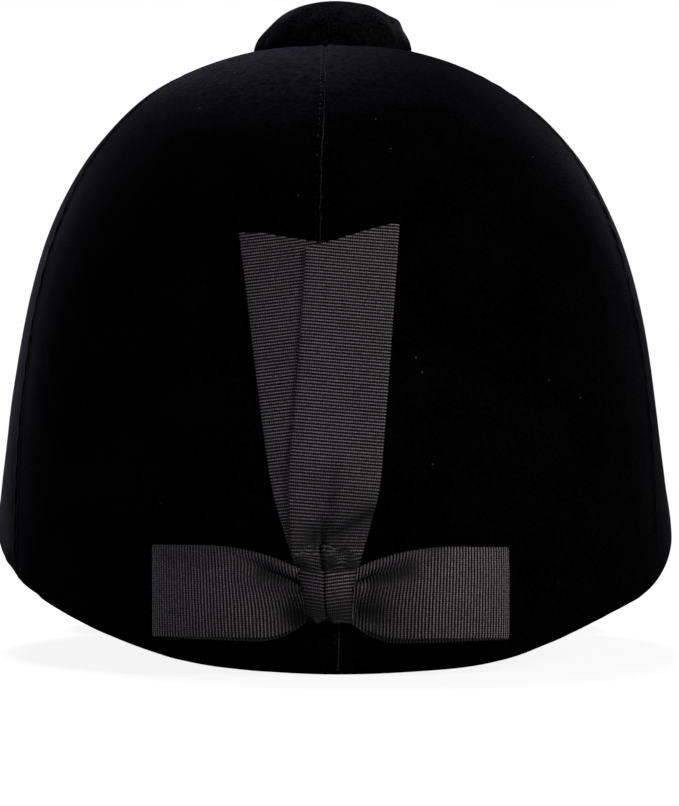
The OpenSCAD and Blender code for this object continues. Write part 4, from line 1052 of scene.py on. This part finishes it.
def plate(u, k, up):
    """Points of the peak, at a share k of the way from the crown to its edge."""
    root, edge = peak_root(u, -PLATE_DROP, 0.5), peak_edge(u)
    d = unit(edge - root)
    s = np.linalg.norm(d[..., :2], axis=-1, keepdims=True)
    lift = s * [0, 0, 1] - unit(d * [1, 1, 0]) * d[..., 2:]
    tip = edge + lift * (BOARD_T / 2) - d * (PIPING_R + 0.1)
    span = np.linalg.norm(tip - root, axis=-1)
    return root + (tip - root) * k[..., None] + lift * (up + 0.07 * span * np.sin(math.pi * k))[..., None] + PLACE


def peak_face(name, up, tuck, material, slot, seed, puff):
    """The peak's upper cover, tucked in at the crown and wrapped round its ends, or its lining."""
    u, k = np.broadcast_arrays(np.linspace(-1, 1, 161)[None], np.linspace(0, 1, 26)[:, None])
    p = plate(u, k, up + puff * np.sin(math.pi * k) + 0.12 * noise(vec(u * 90, k * 45, 0), 14, seed))
    way = unit(p[-1] - p[-3])
    turn_in = ((0.8, 0), (1.5, -0.1), (1.9, -0.6)) if tuck else ((0.7, 0), (1.3, 0.1), (1.7, 0.5))
    p = np.concatenate([p] + [(p[25] + way * a + [0, 0, b])[None] for a, b in turn_in])
    if tuck:
        root = peak_root(u[0], -0.15, 3.0) + PLACE
        p = np.concatenate([root[None], (lerp(root, p[0], 0.55) + [0, 0, 0.15])[None], p])
        for i, j in ((0, 1), (-1, -2)):
            out = unit(p[:, i] - p[:, j])
            over = [p[:, i] + out * a + [0, 0, b] for a, b in ((0.5, -0.2), (0.7, -1.6), (0.4, -3.1))]
            p = np.concatenate([np.stack(over[::-1], 1), p] if i == 0 else [p, np.stack(over, 1)], 1)
    half = p.shape[1] // 2
    arc = run_of(p, 1)
    uv = vec(arc - arc[:, half : half + 1], run_of(p[:, half])[:, None])
    inside = PLACE + [0, 60, -150 if up > 0 else 250]
    ob = piece(name, p, grid_faces(*p.shape[:2]), material, slot, uv, middle=inside)


peak_face("peak_cover", 0.9, True, BLACK_VELVET, "velvet", 81, 0.25)
peak_face("peak_lining", -2.6, False, PEAK_CLOTH, "lining_cloth", 83, -0.1)


def peak_piping():
    u, w = np.linspace(-1, 1, 241), circle(18)
    mid = peak_edge(u) + PLACE
    flat = unit(unit(mid - peak_root(u, -PLATE_DROP, 0.5) - PLACE) * [1, 1, 0])
    ring = flat[:, None] * np.cos(w)[None, :, None] + np.array([0, 0, 1.0]) * np.sin(w)[None, :, None]
    pts = mid[:, None] + ring * PIPING_R
    arc = run_of(mid)
    gathers = 0.07 * np.sin(2 * math.pi * arc / 3.1)[:, None] * (0.5 + 0.5 * np.cos(w - 2.6))[None]
    seam = -0.35 * bump_at(np.cos(w - 3.0), 1, 0.12)[None]
    pts = pts + ring * (gathers + 0.06 * noise(pts, 6, 91) + seam - 0.05)[..., None]
    ends = [np.repeat(q.mean(0)[None, None], len(w), 1) - [0, 1.0, 0] for q in (pts[0], pts[-1])]
    pts = np.concatenate([ends[0], pts, ends[1]])
    uv = vec(w * PIPING_R, np.concatenate([[0], arc, arc[-1:]])[:, None])
    piece("peak_piping", pts, grid_faces(len(pts), len(w), True), BLACK_VELVET, "velvet", uv)


peak_piping()

# ---- harness: a side's straps lie in a plane through the line between its two anchor tabs
STRAP_W, STRAP_T, DROP_H, LEAN = 16.0, 1.4, 80.0, math.radians(2.2)
HINGE_OFF, HINGE_UP, ARC = COVER_IN + 6.3, LINER_EDGE - 2, 32.0
front_h, rear_h = [on_crown(t, 1, HINGE_UP, HINGE_OFF) for t in (ARC, -ARC)]
hinge_mid, span = (front_h + rear_h) / 2, front_h - rear_h
foot_y = math.hypot(span[1], span[2]) / 2
axis = unit(np.array([0, span[1], span[2]]))
strap_up = unit(np.cross([1, 0, 0], axis)) * math.cos(LEAN) + np.array([1, 0, 0]) * math.sin(LEAN)
strap_out = np.cross(axis, strap_up)
SLAB_T, BAR_D, CHIN_W, CHIN_L = STRAP_T + 3, 3.0, 20.0, 42.0
BAR_Z, EYE_GAP = -SLAB_T / 2, 0.3
EYE_D, SEAT_DROP = BAR_D + 2 * EYE_GAP + 3, 16
CHIN_FACE = BAR_Z - EYE_D / 2
CHIN_Z, CHIN_FOOT = CHIN_FACE + STRAP_T / 2, DROP_H - CHIN_L


def in_plane(side, x, y, z):
    """A point of the strap plane: x forward along the hinge, y up, z outward."""
    x, y, z = [np.asarray(v, float)[..., None] for v in (x, y, z)]
    return (hinge_mid + x * axis + y * strap_up + z * strap_out) * [side, 1, 1]


def webbing(name, mids, wides, body=None, blend=None, also=()):
    """A flat strap with rounded edges, swept along points with a half width vector at each."""
    way = unit(np.gradient(mids, axis=0))
    n = unit(np.cross(way, wides))
    a = circle(28)
    c, s = np.cos(a), np.sin(a)
    cx = np.where(np.abs(c) > 0.9999, np.sign(c), rounded(c, 0.5))
    thick = (rounded(s, 0.5) * STRAP_T / 2)[None, :, None]
    pts = mids[:, None] + wides[:, None] * cx[None, :, None] + n[:, None] * thick
    uv = vec(np.linalg.norm(wides, axis=1)[:, None] * cx[None], run_of(mids)[:, None])
    pts = np.concatenate([mids[:1, None] + 0 * pts[:1], pts, mids[-1:, None] + 0 * pts[-1:]])
    uv = np.concatenate([uv[:1], uv, uv[-1:]])
    ob = piece(name, pts, grid_faces(len(pts), len(a), True), WEBBING, uv=uv, body=None)
    mend(ob, 1e-7)
    if blend:
        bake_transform(ob)
    else:
        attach(ob, body)
    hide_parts(name, *also)


def side_line(sg):
    """A side strap in its plane: its foot, its way to the divider, its length and its end's way across."""
    foot = np.array([sg * foot_y, 0.8])
    seat = np.array([sg * (STRAP_W / 2 + 0.5), DROP_H - SEAT_DROP])
    d = unit(seat - foot)
    return foot, d, np.linalg.norm(seat - foot), np.array([-d[1], d[0]])


def side_strap(side, word, front):
    """Webbing from the anchor rivet down the channel, under the liner's edge and up to the divider."""
    name = f"{word}_{'front' if front else 'rear'}_strap"
    sg = 1 if front else -1
    t = sg * ARC
    wall = HEM_IN + 0.5 + STRAP_T / 2
    rows = [[25.5, 0], [21, 0], [16, 0], [12, 0], [9.5, 0.1], [7.8, 0.9], [6.9, 2.4], [6.4, 4.6]]
    tang = unit(on_crown(t + 0.5, 1, 10, wall) - on_crown(t - 0.5, 1, 10, wall))
    tang = tang * np.sign(tang[1]) * STRAP_W / 2
    mids = [on_crown(t, 1, u, wall + more) for u, more in rows]
    foot, d, total, cross = side_line(sg)
    hinge = in_plane(1, foot[0], 0, 0)
    edge = hinge + [2.6, 0, -0.25]
    flat_axis = axis * STRAP_W / 2 / abs(d[1])
    mids += [lerp(mids[-1], edge, 0.4), lerp(mids[-1], edge, 0.8), edge]
    mids += [hinge + [1.3, 0, -0.75], hinge + [0.25, 0, -0.35]]
    wides = [tang for _ in rows] + [lerp(tang, flat_axis, k) for k in (0.4, 0.8, 1, 1, 1)]
    square = unit(in_plane(1, cross[0] * sg, cross[1] * sg, 0) - hinge_mid) * STRAP_W / 2
    if square @ flat_axis < 0:
        square = -square
    for l in np.linspace(0, total, 26):
        mids.append(in_plane(1, *(foot + d * l), 0))
        wides.append(lerp(flat_axis, square, float(ease(l, 0, 22))))
    line, _ = spline(np.concatenate([mids, wides], 1), 90)
    h = hinge * [side, 1, 1]
    away = np.array([side * 1.0, 0, -0.5]) / math.hypot(1, 0.5)
    webbing(name, line[:, :3] * [side, 1, 1], line[:, 3:] * [side, 1, 1], also=("anchor_tabs",),
            blend=("cap", f"{word}_straps", tuple((h + away * 1.6) * MM), tuple((h - away * 1.6) * MM)))


def chin_strap(side, word):
    r = BAR_D / 2 + EYE_GAP + STRAP_T / 2 + 0.1
    line = [[CHIN_FOOT - 6 + y, CHIN_Z] for y in np.linspace(0, CHIN_L, 30)]
    line += [[DROP_H - 4.0, CHIN_Z + 0.05], [DROP_H - 2.0, BAR_Z - r + 0.12]]
    line += [[DROP_H + r * math.sin(a), BAR_Z - r * math.cos(a)] for a in np.radians(np.arange(0, 300, 20))]
    p, _ = spline(line, 110)
    along = axis * [side, 1, 1]
    mids = in_plane(side, 0, p[:, 0], p[:, 1])
    webbing(f"{word}_chin_strap", mids, np.repeat((along * CHIN_W / 2)[None], len(mids), 0), f"{word}_chin")
    rows = np.array([[x, DROP_H - y] for y in (6.6, 9.0) for x in np.linspace(-7.5, 7.5, 7)])
    mids = in_plane(side, rows[:, 0], rows[:, 1], CHIN_FACE - 0.06)
    stitches(f"{word}_chin_stitches", mids, along, side, f"{word}_chin")


def stitches(name, mids, ways, side, body):
    capsules(name, mids, ways, -strap_out * [side, 1, 1], 1.7, 0.22, PALE_THREAD, body)


def strap_stitches(side, word):
    """Two rows of stitches on each side strap, just under the divider."""
    mids, ways = [], []
    for sg in (1, -1):
        foot, d, total, q = side_line(sg)
        for l in (total - 24, total - 21):
            for w in np.linspace(-6, 6, 6):
                mids.append(in_plane(side, *(foot + d * l + q * w), -STRAP_T / 2 - 0.06))
                ways.append((axis * q[0] + strap_up * q[1]) * [side, 1, 1])
    stitches(f"{word}_strap_stitches", mids, ways, side, f"{word}_straps")


for side, word in ((-1, "left"), (1, "right")):
    side_strap(side, word, True)
    side_strap(side, word, False)
    chin_strap(side, word)
    strap_stitches(side, word)


def keeper():
    """A loop of elastic round the right chin strap."""
    wide, ease_out, thick = 5.0, 0.75, 0.42
    a = circle(40)
    x = rounded(np.cos(a), 0.35) * (CHIN_W / 2 + ease_out)
    z = rounded(np.sin(a), 0.6) * (STRAP_T / 2 + ease_out)
    k = np.array([0.0, 0.12, 0.5, 0.88, 1.0])[:, None] * wide
    front, rear = [in_plane(1, x + np.sign(x) * g, CHIN_FOOT + 0.3 + k + 0 * x, CHIN_Z + z + np.sign(z) * g * 0.9)
                   for g in (sign * thick * np.array([0.6, 1, 1, 1, 0.6])[:, None] for sign in (1, -1))]
    slab("strap_keeper", front, rear, ELASTIC, "webbing", vec(a * 12, k), True, body="right_chin")


keeper()


# ---- floor, light and camera
def pale_to_eye(tree, fac, dark, pale, end):
    """Mixes two shaders into the last node of a tree."""
    mix = add(tree, "ShaderNodeMixShader")
    for socket, value in zip(mix.inputs, (fac, dark.outputs[0], pale.outputs[0])):
        put(socket, value)
    put(tree.nodes[end].inputs[0], mix.outputs[0])


def seeing_rays(tree):
    """1 for the rays that the eye sees by: straight, through clear things or in mirrors."""
    path = add(tree, "ShaderNodeLightPath").outputs
    ray = maths("ADD", path["Is Camera Ray"], path["Is Transmission Ray"])
    return maths("MINIMUM", maths("ADD", ray, path["Is Glossy Ray"]), 1.0)


def floor():
    me = bpy.data.meshes.new("floor")
    r, low = 60.0, -0.0003
    me.from_pydata([(-r, -r, low), (r, -r, low), (r, r, low), (-r, r, low)], [], [(0, 1, 2, 3)])
    grey = {"Base Color": (0.86, 0.86, 0.86, 1), "Roughness": 0.95, "Specular IOR Level": 0.1}
    m = looks("pale floor", lambda t: grey)
    t = m.node_tree
    far = add(t, "ShaderNodeVectorMath", operation="LENGTH")
    put(far.inputs[0], add(t, "ShaderNodeTexCoord").outputs["Object"])
    fade = between(far.outputs["Value"], 0.9, 1.0, 0.16, 0.6)
    glow = add(t, "ShaderNodeEmission")
    pale_to_eye(t, mul(seeing_rays(t), fade), t.nodes["Principled BSDF"], glow, "Material Output")
    me.materials.append(m)
    ob = bpy.data.objects.new("floor", me)
    scene.collection.objects.link(ob)


floor()

world = bpy.data.worlds.new("studio")
scene.world = world
world.use_nodes = True
wt = world.node_tree
dim = wt.nodes["Background"]
put(dim.inputs["Color"], (0.55, 0.56, 0.58, 1))
put(dim.inputs["Strength"], 0.155)
white = add(wt, "ShaderNodeBackground", Color=(1, 1, 1, 1), Strength=1.0)
pale_to_eye(wt, seeing_rays(wt), dim, white, "World Output")


def lamp(name, place, aim, size, watts, color=(1, 1, 1)):
    d = bpy.data.lights.new(name, "AREA")
    d.shape, d.size, d.size_y, d.energy, d.color = "RECTANGLE", *size, watts, color
    ob = bpy.data.objects.new(name, d)
    ob.location = place
    ob.rotation_euler = (Vector(aim) - Vector(place)).to_track_quat("-Z", "Y").to_euler()
    scene.collection.objects.link(ob)


lamp("key", (1.45, -1.25, 1.1), (0, -0.02, 0.1), (0.7, 0.6), 40.0)
lamp("top", (-0.14, 0.72, 1.38), (0, -0.02, 0.12), (0.6, 0.5), 70.0, (0.80, 0.78, 1.0))
lamp("fill", (-1.2, -1.2, 0.4), (0, -0.02, 0.08), (0.9, 0.9), 1.0)

DISTANCE, EYE_H = 1.3, 0.0875
cam = bpy.data.cameras.new("camera")
cam.lens, cam.sensor_width, cam.sensor_fit = 194.5, 36.0, "AUTO"
cam.shift_x, cam.shift_y = 0.0074, -0.0630
cam.clip_start, cam.clip_end = 0.05, 100
eye = bpy.data.objects.new("camera", cam)
scene.collection.objects.link(eye)
yaw, roll = math.radians(-0.9), math.radians(-0.04)
pivot = Vector((0, PLACE[1] * MM, EYE_H))
spot = pivot + Matrix.Rotation(yaw, 3, "Z") @ Vector((0, -DISTANCE, 0))
eye.rotation_mode = "QUATERNION"
eye.location = spot
eye.rotation_quaternion = (pivot - spot).to_track_quat("-Z", "Y") @ Matrix.Rotation(roll, 3, "Z").to_quaternion()
scene.camera = eye
scene.view_settings.view_transform = "Standard"
